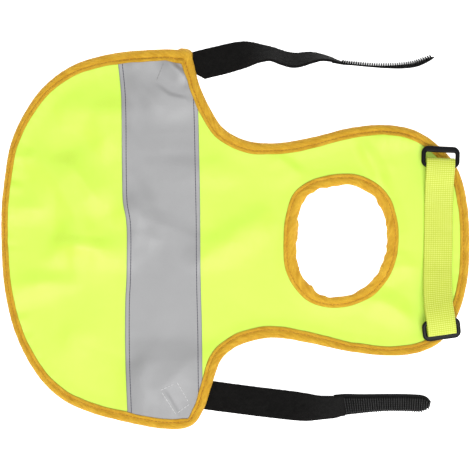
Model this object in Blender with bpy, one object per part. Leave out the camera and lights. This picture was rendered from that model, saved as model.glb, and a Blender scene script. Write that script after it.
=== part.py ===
"""A chicken's high-visibility safety vest, laid flat with its outer side up.

One lime panel with a neck hole, a reflective tape across its lobe, orange bindings, a webbing with two rings
at the neck end and two hook-and-loop straps. The vest lies on z = 0. Its length runs along X, from the rounded
back lobe at -X to the neck end at +X, and its width runs along Y. Tables are in millimetres.
"""
import bisect
import math

import bmesh
import bpy
from mathutils import Matrix, Vector
from mathutils.geometry import delaunay_2d_cdt
from mathutils.kdtree import KDTree

MM = 0.001

# Middle of the laid-out vest's box in the tables' own frame: the origin is put under it
CENTRE = Vector((0.06, -0.16, 0.0))

# Walls and the gap that parts touching pieces
GAP = 0.3
PANEL_WALL = 1.2
TAPE_WALL = 1.0
BINDING_WALL = 1.0
WEBBING_WALL = 1.2
LOOP_WALL = 1.8
HOOK_WALL = 1.6

# Widths of the bought tapes
STRAP_WIDTH = 19.5
WEBBING_WIDTH = 18.6

# How finely the cloth is divided
STATION_SPACING = 6.6
STATION_TURN = math.radians(19)
GRID_SPACING = 10.0
GRID_CLEARANCE = 4.0
INNER_RING_SPACING = 8.0
INSET_STEP = 0.35
INSET_EVENING_PASSES = 4
NEARNESS_STEP = 1.0

# The panel stands on the binding's lower leg at its edge and eases to the floor inside it
EDGE_LIFT = BINDING_WALL + GAP
EDGE_LIFT_RUN = 6.0
PANEL_EDGE_DEPTH = BINDING_WALL + GAP

# The panel passes over each strap's root
ROOT_LIFT = LOOP_WALL + GAP
ROOT_PLATEAU = 10.0
ROOT_LIFT_RUN = 18.0

# Outer edge of the edge binding, from the lobe's upper front corner, anticlockwise from above.
# Columns: x, y, visible width of the binding
OUTLINE = (
    (-29.6, 119.6, 6.6),
    (-36.0, 120.9, 7.2),
    (-60.0, 120.6, 7.6),
    (-84.5, 117.7, 7.2),
    (-107.0, 110.4, 6.6),
    (-125.1, 97.0, 6.0),
    (-137.7, 79.6, 5.4),
    (-146.4, 60.2, 4.9),
    (-151.3, 31.6, 4.5),
    (-152.9, 4.9, 4.4),
    (-150.4, -35.9, 4.8),
    (-142.8, -66.6, 5.4),
    (-128.4, -92.6, 5.8),
    (-114.0, -106.7, 6.1),
    (-96.4, -115.3, 6.4),
    (-70.0, -122.4, 6.6),
    (-46.0, -126.5, 6.7),
    (-33.0, -126.0, 6.7),
    (-26.4, -122.7, 6.6),
    (-20.5, -113.6, 6.6),
    (-14.5, -95.6, 7.0),
    (-8.9, -81.1, 7.4),
    (-0.8, -74.0, 7.6),
    (10.0, -69.5, 7.8),
    (25.3, -67.2, 7.6),
    (45.3, -70.0, 7.0),
    (76.3, -76.4, 6.2),
    (103.0, -78.9, 6.1),
    (122.0, -76.1, 6.1),
    (135.5, -68.5, 6.1),
    (146.0, -50.5, 6.1),
    (151.4, -31.0, 6.1),
    (153.0, -8.0, 6.1),
    (151.4, 21.0, 6.1),
    (145.3, 43.1, 6.1),
    (133.6, 57.7, 6.3),
    (118.6, 67.9, 6.5),
    (100.0, 71.9, 6.5),
    (76.0, 70.3, 6.8),
    (50.0, 63.9, 7.2),
    (27.2, 60.2, 7.4),
    (8.0, 61.6, 7.6),
    (-7.4, 69.6, 7.6),
    (-16.5, 83.0, 7.2),
    (-23.5, 98.5, 6.8),
    (-27.2, 113.0, 6.6),
)

# Inner edge of the neck binding, clockwise from above, from the side nearest the neck end.
# Columns: x, y, visible width of the binding
NECK = (
    (98.6, -4.0, 7.9),
    (95.7, -18.0, 7.9),
    (89.7, -28.6, 7.8),
    (81.9, -35.2, 7.6),
    (70.8, -39.8, 7.2),
    (58.2, -39.1, 7.6),
    (49.9, -33.8, 8.7),
    (42.0, -21.8, 8.9),
    (40.0, -5.6, 8.5),
    (40.8, 8.0, 8.3),
    (44.2, 20.6, 8.3),
    (50.5, 27.1, 8.0),
    (60.3, 30.6, 7.8),
    (73.5, 32.0, 7.8),
    (82.5, 29.7, 7.9),
    (90.8, 24.0, 8.1),
    (96.4, 14.3, 7.9),
)

# Long edges of the reflective tape, carried on past the lobe's top and bottom. Columns: x, y
TAPE_BACK_EDGE = (
    (-77.4, 126.0),
    (-76.5, 113.0),
    (-74.3, 89.0),
    (-73.8, 42.0),
    (-73.2, 21.6),
    (-71.0, 8.5),
    (-71.0, -28.7),
    (-71.7, -42.4),
    (-71.8, -75.1),
    (-70.2, -118.5),
    (-69.8, -130.0),
)
TAPE_FRONT_EDGE = (
    (-26.0, 126.0),
    (-25.5, 110.0),
    (-24.2, 80.0),
    (-23.5, 49.0),
    (-23.0, 22.0),
    (-22.6, -29.0),
    (-21.8, -60.0),
    (-21.4, -92.0),
    (-21.0, -130.0),
)

# Largest soft folds of the panel, each a rounded ridge over a crest line.
# Columns: x and y of the crest's two ends, width over all, height
FOLDS = (
    (-108.0, 82.0, -78.0, 80.0, 34.0, 3.2),
    (-84.0, 60.0, -66.0, 18.0, 46.0, 4.2),
    (-126.0, 47.0, -98.0, 2.0, 30.0, 3.6),
    (-118.0, -12.0, -108.0, -4.0, 26.0, 2.6),
    (-106.0, -4.0, -74.0, -12.0, 30.0, 3.0),
    (-143.0, -36.0, -108.0, -31.0, 20.0, 2.2),
    (-100.0, -70.0, -64.0, -84.0, 40.0, 2.6),
    (-19.8, -14.0, 16.0, 6.0, 30.0, 3.0),
    (-44.0, 52.0, -8.0, 44.0, 40.0, 2.8),
    (20.0, 44.0, 40.0, 38.0, 20.0, 1.8),
    (89.4, 60.0, 102.0, 42.0, 22.0, 2.4),
    (92.0, -47.0, 104.0, -43.0, 20.0, 2.2),
)
FOLD_LEFT_AT_EDGE = 0.35
FOLD_FADE = 25.0

# Straps, from the root's end to the tip, along their middle line.
# Columns: x, y, tilt in degrees by which the inner long edge is raised
STRAP_LOWER = (
    (-49.2, -100.4, 0.0),
    (-17.5, -104.6, 0.0),
    (10.0, -108.2, 0.0),
    (37.1, -111.4, 4.0),
    (47.0, -112.3, 17.0),
    (55.4, -112.4, 32.0),
    (63.0, -111.9, 37.0),
    (71.0, -110.4, 43.0),
    (84.8, -109.2, 51.0),
    (97.6, -108.6, 54.5),
    (110.0, -108.6, 55.0),
    (126.8, -109.4, 54.0),
)
STRAP_UPPER = (
    (-49.2, 103.4, 0.0),
    (-24.3, 110.6, 0.0),
    (-9.4, 114.2, 5.0),
    (3.9, 117.4, 27.0),
    (16.6, 118.6, 53.0),
    (24.2, 117.9, 62.5),
    (31.0, 115.3, 62.0),
    (38.0, 113.8, 60.0),
    (49.2, 115.4, 68.0),
    (57.3, 115.0, 80.0),
    (70.7, 111.7, 90.0),
    (84.8, 110.2, 91.0),
    (99.0, 109.5, 94.0),
    (109.0, 109.8, 97.0),
    (117.0, 111.0, 97.0),
    (128.6, 115.4, 93.0),
)
STRAP_STEP = 5.0
ROOT_LENGTH_LOWER = 32.0
ROOT_LENGTH_UPPER = 26.0
LOOP_LENGTH = 121.0
TAPE_JOINT_OVERLAP = 6.0
TAPE_JOINT_EASE = 9.0
TIP_ROUNDING = 7.5
TIP_STEPS = 4
TIP_BLUNTNESS = 0.3

# Rings: outer size, bars, thickness
RING_LENGTH = 25.0
RING_DEPTH = 14.2
RING_INNER_BAR = 3.0
RING_OUTER_BAR = 3.6
RING_SIDE_BAR = 2.5
RING_THICKNESS = 2.8
RING_CORNER = 3.4
RING_WINDOW_CORNER = 1.0
RING_CORNER_STEPS = 4
RING_EDGE_ROUNDING = 0.8

# Where each ring's inner bar lies: the joint's axis.
# Columns: name, x, y, z, turn about Z, slope of the ring down to its outer bar, outward side along Y
RINGS = (
    ("ring_upper", 133.4, 45.0, 7.2, -2.5, 8.0, 1),
    ("ring_lower", 133.4, -56.2, 9.5, 7.5, 20.0, -1),
)

# Chest webbing, its middle line seen from above, from the lower fold's end to the upper one's.
# Columns: x, y, turn of its width about Z in degrees
WEBBING_PLAN = (
    (134.5, -64.7, 7.5),
    (133.0, -53.1, 7.5),
    (131.8, -42.9, 7.0),
    (131.8, -25.0, 2.0),
    (132.4, -5.0, 0.0),
    (132.6, 15.0, -1.0),
    (132.8, 29.8, -2.5),
    (133.2, 40.5, -2.5),
    (133.6, 49.7, -2.5),
)
# The same webbing seen from its edge, from one tucked end to the other.
# Columns: distance from the lower fold's end along that line, height of its middle
WEBBING_SIDE = (
    (21.0, 4.8),
    (15.0, 4.8),
    (8.6, 4.8),
    (3.6, 5.4),
    (1.0, 6.9),
    (0.4, 8.8),
    (1.6, 10.8),
    (5.0, 12.0),
    (8.6, 12.3),
    (12.5, 11.6),
    (17.0, 8.9),
    (21.5, 6.9),
    (27.0, 4.6),
    (34.0, 3.4),
    (44.0, 2.8),
    (66.0, 2.6),
    (85.0, 2.9),
    (94.0, 4.6),
    (99.0, 6.5),
    (104.0, 8.3),
    (110.2, 9.6),
    (113.4, 8.9),
    (114.4, 7.2),
    (113.4, 5.5),
    (110.2, 4.8),
    (105.0, 4.8),
    (99.5, 4.8),
)
WEBBING_STEP = 4.5
WEBBING_TURN = math.radians(20)


def smooth_line(rows, closed, per_span=16):
    """A smooth curve through rows of any width: a centripetal Catmull-Rom spline, finely sampled."""
    count = len(rows)
    points = [Vector(row) for row in rows]
    if not closed:
        points = [points[0] * 2 - points[1], *points, points[-1] * 2 - points[-2]]
    spans = range(count) if closed else range(1, count)
    line = []
    for i in spans:
        a, b, c, d = (points[(i + k) % len(points)] for k in (-1, 0, 1, 2))
        t1 = (b - a).length ** 0.5
        t2 = t1 + (c - b).length ** 0.5
        t3 = t2 + (d - c).length ** 0.5
        for k in range(per_span):
            t = t1 + (t2 - t1) * k / per_span
            ab = a.lerp(b, t / t1)
            bc = b.lerp(c, (t - t1) / (t2 - t1))
            cd = c.lerp(d, (t - t2) / (t3 - t2))
            abc = ab.lerp(bc, t / t2)
            bcd = bc.lerp(cd, (t - t1) / (t3 - t1))
            line.append(abc.lerp(bcd, (t - t1) / (t2 - t1)))
    if not closed:
        line.append(points[-2])
    return line


def plan_length(a, b):
    """Distance between two points seen from above."""
    return math.hypot(b[0] - a[0], b[1] - a[1])


def stations(line, closed, spacing, turn=None):
    """Points along a fine line, spaced evenly, and closer where it turns."""
    steps = list(zip(line, line[1:] + line[:1])) if closed else list(zip(line, line[1:]))
    weights = []
    for i, (a, b) in enumerate(steps):
        weight = plan_length(a, b) / spacing
        if turn and (closed or i):
            before = steps[i - 1]
            first = math.atan2(before[1][1] - before[0][1], before[1][0] - before[0][0])
            second = math.atan2(b[1] - a[1], b[0] - a[0])
            weight += abs(math.remainder(second - first, math.tau)) / turn
        weights.append(weight)
    total = sum(weights)
    count = max(4, round(total))
    wanted = [total * k / count for k in range(count if closed else count + 1)]
    found = []
    passed = 0.0
    for (a, b), weight in zip(steps, weights):
        while len(found) < len(wanted) and wanted[len(found)] <= passed + weight + 1e-9:
            found.append(a.lerp(b, min(1.0, (wanted[len(found)] - passed) / weight)))
        passed += weight
    return found


def inset(ring, depths):
    """A closed anticlockwise ring moved inwards by a depth at each point, in small steps that keep it even."""
    points = [p.xy for p in ring]
    count = len(points)
    step_count = max(1, math.ceil(max(abs(d) for d in depths) / INSET_STEP))
    for _ in range(step_count):
        moved = []
        for i, point in enumerate(points):
            before = (point - points[i - 1]).normalized()
            after = (points[(i + 1) % count] - point).normalized()
            mitre = (before + after).normalized()
            inward = Vector((-mitre.y, mitre.x))
            reach = depths[i] / step_count / max(0.6, mitre.dot(after))
            moved.append(point + inward * reach)
        points = moved
        for _ in range(INSET_EVENING_PASSES):
            evened = []
            for i, point in enumerate(points):
                a = points[i - 1]
                b = points[(i + 1) % count]
                along = (b - a).normalized()
                evened.append(point + along * along.dot((a + b) / 2 - point) * 0.5)
            points = evened
    return points


class Nearness:
    """Measures how far a point lies from a line of points, seen from above."""

    def __init__(self, line, closed=True):
        ends = list(zip(line, line[1:] + line[:1])) if closed else list(zip(line, line[1:]))
        spots = []
        for a, b in ends:
            cuts = max(1, math.ceil(plan_length(a, b) / NEARNESS_STEP))
            spots += [a.xy.lerp(b.xy, k / cuts) for k in range(cuts + 1)]
        self.tree = KDTree(len(spots))
        for i, spot in enumerate(spots):
            self.tree.insert((*spot, 0), i)
        self.tree.balance()

    def distance(self, point):
        return self.tree.find((*point.xy, 0))[2]


class Path:
    """A smooth open line that is read by the distance along it, seen from above."""

    def __init__(self, rows):
        self.line = smooth_line(rows, closed=False)
        self.marks = [0.0]
        for a, b in zip(self.line, self.line[1:]):
            self.marks.append(self.marks[-1] + plan_length(a, b))
        self.length = self.marks[-1]

    def at(self, distance):
        """The row at a distance along the line, carried on straight past its ends."""
        k = max(1, min(len(self.marks) - 1, bisect.bisect_left(self.marks, distance)))
        share = (distance - self.marks[k - 1]) / (self.marks[k] - self.marks[k - 1])
        return self.line[k - 1] + (self.line[k] - self.line[k - 1]) * share

    def direction(self, distance):
        """The line's direction from above."""
        return (self.at(distance + 1.0).xy - self.at(distance - 1.0).xy).normalized()


def inside(point, ring):
    """Whether a point lies inside a closed ring, seen from above."""
    crossings = 0
    for a, b in zip(ring, ring[1:] + ring[:1]):
        if (a.y > point.y) != (b.y > point.y):
            crossings += point.x < a.x + (point.y - a.y) / (b.y - a.y) * (b.x - a.x)
    return crossings % 2 == 1


def smooth_step(value):
    """Eases from 0 to 1 as the value goes from 0 to 1."""
    value = max(0.0, min(1.0, value))
    return value * value * (3 - 2 * value)


class Edge:
    """One bound edge of the panel: its fold, the panel's own edge and the rings inside the binding."""

    def __init__(self, rows, spacing):
        table = smooth_line(rows, closed=True)
        placed = stations(table, True, spacing, STATION_TURN)
        widths = [p.z for p in placed]
        self.fold = [p.xy for p in placed]
        self.panel = inset(self.fold, [PANEL_EDGE_DEPTH] * len(placed))
        self.leg = inset(self.panel, [w + GAP - PANEL_EDGE_DEPTH for w in widths])
        self.eased = inset(self.leg, [EDGE_LIFT_RUN] * len(placed))
        self.widths = widths
        self.near_fold = Nearness(self.fold)
        self.near_leg = Nearness(self.leg)

    def at_depth(self, i, depth):
        """The point of station i at a depth from the fold, no deeper than the binding's leg."""
        if depth <= PANEL_EDGE_DEPTH:
            return self.fold[i].lerp(self.panel[i], depth / PANEL_EDGE_DEPTH)
        reach = self.widths[i] + GAP - PANEL_EDGE_DEPTH
        return self.panel[i].lerp(self.leg[i], (depth - PANEL_EDGE_DEPTH) / reach)


class Root:
    """The length of a strap that lies under the panel, as a box seen from above."""

    def __init__(self, rows, length):
        start = Vector(rows[0][:2])
        self.along = (Vector(rows[1][:2]) - start).normalized()
        self.middle = start + self.along * length / 2
        self.half = Vector((length / 2, STRAP_WIDTH / 2))

    def distance(self, point):
        away = point - self.middle
        x = max(0.0, abs(away.dot(self.along)) - self.half.x)
        y = max(0.0, abs(away.cross(self.along)) - self.half.y)
        return math.hypot(x, y)


OUTER = Edge(OUTLINE, STATION_SPACING)
HOLE = Edge(NECK, STATION_SPACING)
ROOTS = (Root(STRAP_LOWER, ROOT_LENGTH_LOWER), Root(STRAP_UPPER, ROOT_LENGTH_UPPER))
TAPE_EDGES = [smooth_line([(*row, 0) for row in edge], closed=False)
              for edge in (TAPE_BACK_EDGE, TAPE_FRONT_EDGE)]
CRESTS = [(Nearness([Vector(row[0:2]), Vector(row[2:4])], False), row[4], row[5]) for row in FOLDS]


def cloth_rise(point):
    """How far the cloth stands off the floor over the strap roots and in the folds."""
    root = max(1 - smooth_step((r.distance(point) - ROOT_PLATEAU) / ROOT_LIFT_RUN) for r in ROOTS)
    edge = min(OUTER.near_fold.distance(point), HOLE.near_fold.distance(point))
    fade = FOLD_LEFT_AT_EDGE + (1 - FOLD_LEFT_AT_EDGE) * smooth_step(edge / FOLD_FADE)
    rise = 0.0
    for crest, width, height in CRESTS:
        away = crest.distance(point)
        if away < width / 2:
            rise += height * fade * (1 + math.cos(math.tau * away / width)) / 2
    return ROOT_LIFT * root + rise


def edge_rise(point):
    """How far the panel stands on the bindings' lower legs."""
    rise = 0.0
    for edge, outward in ((OUTER, False), (HOLE, True)):
        if inside(point, edge.leg) == outward:
            rise = EDGE_LIFT
        else:
            away = edge.near_leg.distance(point)
            rise = max(rise, EDGE_LIFT * (1 - away / EDGE_LIFT_RUN))
    return rise


def underside(point):
    """Height of the panel's underside."""
    return cloth_rise(point) + edge_rise(point)


def grid_points(fences):
    """Staggered points inside the panel, clear of the lines that it is divided along."""
    nearby = [Nearness(line, closed) for line, closed in fences]
    points = []
    row = 0
    y = min(p.y for p in OUTER.fold)
    top = max(p.y for p in OUTER.fold)
    left = min(p.x for p in OUTER.fold)
    right = max(p.x for p in OUTER.fold)
    while y < top:
        x = left + (row % 2) * GRID_SPACING / 2
        while x < right:
            point = Vector((x, y))
            within = inside(point, OUTER.eased) and not inside(point, HOLE.eased)
            if within and all(n.distance(point) > GRID_CLEARANCE for n in nearby):
                points.append(point)
            x += GRID_SPACING
        y += GRID_SPACING * math.sqrt(3) / 2
        row += 1
    return points


def evened(ring):
    """A ring with fewer points, evenly spaced."""
    return stations([Vector((p.x, p.y, 0)) for p in ring], True, INNER_RING_SPACING)


def within_leg(line):
    """The stretch of a fine line inside the edge binding, carried on by one point at each end."""
    held = [i for i, point in enumerate(line) if inside(point, OUTER.leg)]
    return line[held[0] - 1:held[-1] + 2]


def panel_surface():
    """Points and triangles of the panel seen from above."""
    tape_lines = [stations(within_leg(edge), False, GRID_SPACING) for edge in TAPE_EDGES]
    rings = [OUTER.panel, OUTER.leg, HOLE.panel, HOLE.leg, evened(OUTER.eased), evened(HOLE.eased)]
    fences = [(ring, True) for ring in rings] + [(line, False) for line in tape_lines]
    points = []
    edges = []
    for line, closed in fences:
        first = len(points)
        points += [p.xy for p in line]
        edges += [(first + i, first + i + 1) for i in range(len(line) - 1)]
        if closed:
            edges.append((len(points) - 1, first))
    points += grid_points(fences)
    found, _, faces, *_ = delaunay_2d_cdt(points, edges, [], 0, 1e-4)
    kept = []
    for face in faces:
        middle = sum((found[i] for i in face), Vector((0, 0))) / 3
        if inside(middle, OUTER.panel) and not inside(middle, HOLE.panel):
            kept.append(face)
    return found, kept


def new_object(name, shape, colour, roughness, metallic=0.0, centre=CENTRE):
    """An object with its own material, from a bmesh in millimetres round a centre."""
    bmesh.ops.translate(shape, verts=shape.verts, vec=-centre)
    bmesh.ops.scale(shape, vec=(MM, MM, MM), verts=shape.verts)
    bmesh.ops.recalc_face_normals(shape, faces=shape.faces)
    mesh = bpy.data.meshes.new(name)
    shape.to_mesh(mesh)
    shape.free()
    mesh.shade_smooth()
    mesh.set_sharp_from_angle(angle=math.radians(40))
    thing = bpy.data.objects.new(name, mesh)
    bpy.context.scene.collection.objects.link(thing)
    material = bpy.data.materials.new(name)
    material.use_nodes = True
    shader = material.node_tree.nodes["Principled BSDF"]
    shader.inputs["Base Color"].default_value = (*colour, 1.0)
    shader.inputs["Roughness"].default_value = roughness
    shader.inputs["Metallic"].default_value = metallic
    mesh.materials.append(material)
    return thing


def slab(points, faces, heights, wall):
    """A wall of cloth: a surface extruded straight up."""
    shape = bmesh.new()
    used = sorted({i for face in faces for i in face})
    made = {i: shape.verts.new((*points[i], heights[i])) for i in used}
    for face in faces:
        shape.faces.new([made[i] for i in face])
    lifted = bmesh.ops.extrude_face_region(shape, geom=shape.faces[:])
    top = [v for v in lifted["geom"] if isinstance(v, bmesh.types.BMVert)]
    bmesh.ops.translate(shape, verts=top, vec=(0, 0, wall))
    return shape


def skin(sections, closed):
    """A solid through sections with equal numbers of points, closed on itself or capped at its ends."""
    shape = bmesh.new()
    loops = [[shape.verts.new(point) for point in section] for section in sections]
    pairs = list(zip(loops, loops[1:] + loops[:1])) if closed else list(zip(loops, loops[1:]))
    for one, other in pairs:
        for i in range(len(one)):
            j = (i + 1) % len(one)
            shape.faces.new((one[i], one[j], other[j], other[i]))
    if not closed:
        shape.faces.new(loops[0])
        shape.faces.new(loops[-1])
    return shape


def in_tape(point):
    """Whether a point lies between the tape's long edges and inside the edge binding."""
    back, front = TAPE_EDGES
    return inside(point, back + front[::-1]) and inside(point, OUTER.leg)


def make_panel_and_tape():
    """The lime panel, and the reflective tape made from the panel's own points, moved up."""
    points, faces = panel_surface()
    low = [underside(p) for p in points]
    new_object("body_panel", slab(points, faces, low, PANEL_WALL), (0.75, 0.99, 0.12), 0.55)
    taped = [f for f in faces if in_tape(sum((points[i] for i in f), Vector((0, 0))) / 3)]
    above = [z + PANEL_WALL + GAP for z in low]
    new_object("reflective_tape", slab(points, taped, above, TAPE_WALL), (0.47, 0.47, 0.48), 0.4, 0.3)


def make_binding(name, edge):
    """A folded strip round an edge: two legs and a rounded fold, following the cloth's rise."""
    thickness = 2 * BINDING_WALL + 2 * GAP + PANEL_WALL
    sections = []
    for i, width in enumerate(edge.widths):
        # Columns: depth from the fold, height over the binding's underside
        profile = (
            (width, 0.0),
            (BINDING_WALL * 0.8, 0.0),
            (0.0, thickness * 0.3),
            (0.0, thickness * 0.7),
            (BINDING_WALL * 0.8, thickness),
            (width, thickness),
            (width, thickness - BINDING_WALL),
            (BINDING_WALL, thickness - BINDING_WALL),
            (BINDING_WALL, BINDING_WALL),
            (width, BINDING_WALL),
        )
        section = []
        for depth, height in profile:
            point = edge.at_depth(i, depth)
            section.append((*point, cloth_rise(point) + height))
        sections.append(section)
    new_object(name, skin(sections, closed=True), (0.78, 0.36, 0.04), 0.65)


def strap_frame(path, travelled, side):
    """Where a strap lies at a distance along it; side is +1 where its raised edge lies at -Y."""
    row = path.at(travelled)
    along = path.direction(travelled)
    raised = Vector((along.y, -along.x)) * side
    tilt = math.radians(row.z)
    across = Vector((*(raised * math.cos(tilt)), math.sin(tilt)))
    face = Vector((*(-raised * math.sin(tilt)), math.cos(tilt)))
    return row.xy, across, face


def resting_height(low, high, across, face):
    """Height of a strap's middle where the lowest corner of its layers touches the floor."""
    return abs(across.z) * STRAP_WIDTH / 2 - min(low * face.z, high * face.z)


def make_strap(suffix, rows, side):
    """A loop tape and the hook tape sewn to its end, both on one twisting middle line."""
    path = Path(rows)
    hook_start = LOOP_LENGTH - TAPE_JOINT_OVERLAP
    hook_under_loop = -LOOP_WALL / 2 - GAP - HOOK_WALL / 2
    even = [STRAP_STEP * k for k in range(math.ceil((path.length - TIP_ROUNDING) / STRAP_STEP))]
    tip = [path.length - TIP_ROUNDING * (1 - math.sin(math.radians(90) * k / TIP_STEPS))
           for k in range(TIP_STEPS + 1)]
    loops = []
    hooks = []
    for travelled in sorted({*even, hook_start, LOOP_LENGTH, *tip}):
        point, across, face = strap_frame(path, travelled, side)
        near_joint = smooth_step(1 - max(0.0, hook_start - travelled) / TAPE_JOINT_EASE)
        after_joint = smooth_step((travelled - LOOP_LENGTH) / TAPE_JOINT_EASE)
        hook_middle = hook_under_loop * (1 - after_joint)
        low = min(-LOOP_WALL / 2, (hook_middle - HOOK_WALL / 2) * near_joint)
        middle = Vector((*point, resting_height(low, LOOP_WALL / 2, across, face)))
        half = STRAP_WIDTH / 2
        past_rounding = 1 - (path.length - travelled) / TIP_ROUNDING
        if past_rounding > 0:
            half *= max(TIP_BLUNTNESS, math.sqrt(1 - past_rounding ** 2))
        if travelled <= LOOP_LENGTH:
            loops.append(tape_section(middle, across, face, half, LOOP_WALL))
        if travelled >= hook_start:
            hooks.append(tape_section(middle + face * hook_middle, across, face, half, HOOK_WALL))
    new_object("strap_loop_" + suffix, skin(loops, closed=False), (0.012, 0.011, 0.010), 0.9)
    new_object("strap_hook_" + suffix, skin(hooks, closed=False), (0.020, 0.020, 0.019), 0.6)


def tape_section(middle, across, face, half, wall):
    """The four corners of a tape's section."""
    return [middle + across * half * a + face * wall / 2 * b for a, b in ((-1, -1), (1, -1), (1, 1), (-1, 1))]


def make_webbing():
    """The chest webbing: one ribbon laid over the neck end, with both ends folded round the rings."""
    plan = Path(WEBBING_PLAN)
    side = stations(smooth_line([(*row, 0) for row in WEBBING_SIDE], closed=False), False,
                    WEBBING_STEP, WEBBING_TURN)
    sections = []
    for i, point in enumerate(side):
        row = plan.at(point.x)
        turn = math.radians(row.z)
        onward = Vector((-math.sin(turn), math.cos(turn)))
        step = (side[min(len(side) - 1, i + 1)].xy - side[max(0, i - 1)].xy).normalized()
        across = Vector((math.cos(turn), math.sin(turn), 0))
        face = Vector((*(onward * -step.y), step.x))
        centre = Vector((*row.xy, point.y))
        sections.append(tape_section(centre, across, face, WEBBING_WIDTH / 2, WEBBING_WALL))
    new_object("chest_webbing", skin(sections, closed=False), (0.70, 0.85, 0.13), 0.7)


def rounded_rectangle(low, high, radius):
    """Corner points of a rounded rectangle, anticlockwise."""
    centres = ((high.x, high.y), (low.x, high.y), (low.x, low.y), (high.x, low.y))
    points = []
    for k, (x, y) in enumerate(centres):
        middle = Vector((x - math.copysign(radius, x - (low.x + high.x) / 2),
                         y - math.copysign(radius, y - (low.y + high.y) / 2)))
        for step in range(RING_CORNER_STEPS + 1):
            angle = math.radians(90) * (k + step / RING_CORNER_STEPS)
            points.append(middle + Vector((math.cos(angle), math.sin(angle))) * radius)
    return points


def make_ring(name, x, y, z, turn, slope, side):
    """A moulded rectangular ring, with its inner bar's middle on the object's origin."""
    shape = bmesh.new()
    outer_low = Vector((-RING_LENGTH / 2, -RING_INNER_BAR / 2))
    outer_high = outer_low + Vector((RING_LENGTH, RING_DEPTH))
    window_low = outer_low + Vector((RING_SIDE_BAR, RING_INNER_BAR))
    window_high = outer_high - Vector((RING_SIDE_BAR, RING_OUTER_BAR))
    edges = []
    for low, high, radius in ((outer_low, outer_high, RING_CORNER),
                              (window_low, window_high, RING_WINDOW_CORNER)):
        loop = [shape.verts.new((*p, -RING_THICKNESS / 2)) for p in rounded_rectangle(low, high, radius)]
        edges += [shape.edges.new((a, b)) for a, b in zip(loop, loop[1:] + loop[:1])]
    bmesh.ops.bridge_loops(shape, edges=edges)
    lifted = bmesh.ops.extrude_face_region(shape, geom=shape.faces[:])
    top = [v for v in lifted["geom"] if isinstance(v, bmesh.types.BMVert)]
    bmesh.ops.translate(shape, verts=top, vec=(0, 0, RING_THICKNESS))
    thing = new_object(name, shape, (0.018, 0.018, 0.022), 0.35, centre=Vector())
    edge = thing.modifiers.new("Rounded edges", "BEVEL")
    edge.width = RING_EDGE_ROUNDING * MM
    edge.segments = 2
    edge.limit_method = "ANGLE"
    edge.angle_limit = math.radians(60)
    facing = Matrix.Rotation(0.0 if side > 0 else math.pi, 4, "Z")
    lean = Matrix.Rotation(math.radians(-slope), 4, "X")
    thing.matrix_world = (Matrix.Translation((Vector((x, y, z)) - CENTRE) * MM)
                          @ Matrix.Rotation(math.radians(turn), 4, "Z") @ facing @ lean)


def main():
    """Builds the vest."""
    for thing in list(bpy.data.objects):
        bpy.data.objects.remove(thing)
    make_panel_and_tape()
    make_binding("edge_binding", OUTER)
    make_binding("neck_binding", HOLE)
    make_webbing()
    for row in RINGS:
        make_ring(*row)
    make_strap("lower", STRAP_LOWER, -1)
    make_strap("upper", STRAP_UPPER, 1)


main()
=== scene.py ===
"""A chicken's high-visibility safety vest, laid flat with its outer side up: its look and its stage.

Sizes are in millimetres, measured from the middle of the laid-out vest: X along it towards the neck end,
Y across it, Z up from the surface that it lies on. Every piece is moved to metres when it is finished.
"""
import bisect
import math
import random

import bmesh
import bpy
from bpy.props import FloatProperty, FloatVectorProperty, PointerProperty
from mathutils import Matrix, Vector, noise
from mathutils.bvhtree import BVHTree
from mathutils.kdtree import KDTree


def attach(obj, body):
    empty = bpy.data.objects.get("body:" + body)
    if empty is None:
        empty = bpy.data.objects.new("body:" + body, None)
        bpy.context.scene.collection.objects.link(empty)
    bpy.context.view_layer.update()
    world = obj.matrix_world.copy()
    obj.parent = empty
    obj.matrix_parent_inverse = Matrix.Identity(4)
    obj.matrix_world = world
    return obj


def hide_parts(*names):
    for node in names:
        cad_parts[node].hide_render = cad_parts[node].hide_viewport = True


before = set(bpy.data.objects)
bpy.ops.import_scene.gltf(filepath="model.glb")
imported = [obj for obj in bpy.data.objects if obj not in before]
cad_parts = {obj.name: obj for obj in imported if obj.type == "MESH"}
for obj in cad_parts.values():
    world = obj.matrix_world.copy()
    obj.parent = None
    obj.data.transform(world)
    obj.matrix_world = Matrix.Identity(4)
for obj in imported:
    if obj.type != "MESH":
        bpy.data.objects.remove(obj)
bpy.context.view_layer.update()

bl_info = {
    "name": "Chicken safety vest",
    "version": (1, 0, 0),
    "blender": (4, 5, 0),
    "location": "View3D > Sidebar > Vest",
    "description": "Sews a hen's safety vest: panel, reflective tape, bindings, webbing, rings and straps",
    "category": "Object",
}

MM = 0.001

# Middle of the vest's box in the tables' own frame
CENTRE = Vector((0.06, -0.16, 0.0))

# Body that carries the cloth
VEST = "vest"

# Walls of the solids that the cloth stands for, and the gap between them
SOLID_GAP = 0.3
SOLID_PANEL_WALL = 1.2
SOLID_BINDING_WALL = 1.0
SOLID_LOOP_WALL = 1.8
SOLID_HOOK_WALL = 1.6
PANEL_EDGE_DEPTH = SOLID_BINDING_WALL + SOLID_GAP

# Widths of the bought tapes
TAPE_WIDTH = 50.0
STRAP_WIDTH = 19.5
WEBBING_WIDTH = 18.6

# Thicknesses as shown, and how far the tape lies over the panel
PANEL_THICKNESS = 1.1
TAPE_THICKNESS = 0.35
TAPE_LIFT = 0.2
LEAST_TAPE_LIFT = 0.05
BINDING_THICKNESS = 0.5

# How finely the cloth is divided
PANEL_SPACING = 1.3
TAPE_SPACING = 0.85
BINDING_SPACING = 1.6
WEBBING_STEP = 0.33
STRAP_STEP = 0.9

# Steps in which an edge is moved inwards, and how often each step evens it
INSET_STEP = 0.35
INSET_EVENING_PASSES = 5

# How far the folds of the two bindings waver, and how long the waves are
OUTER_WAVER = 0.35
NECK_WAVER = 1.7
WAVER_SPACING = 7.0

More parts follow.
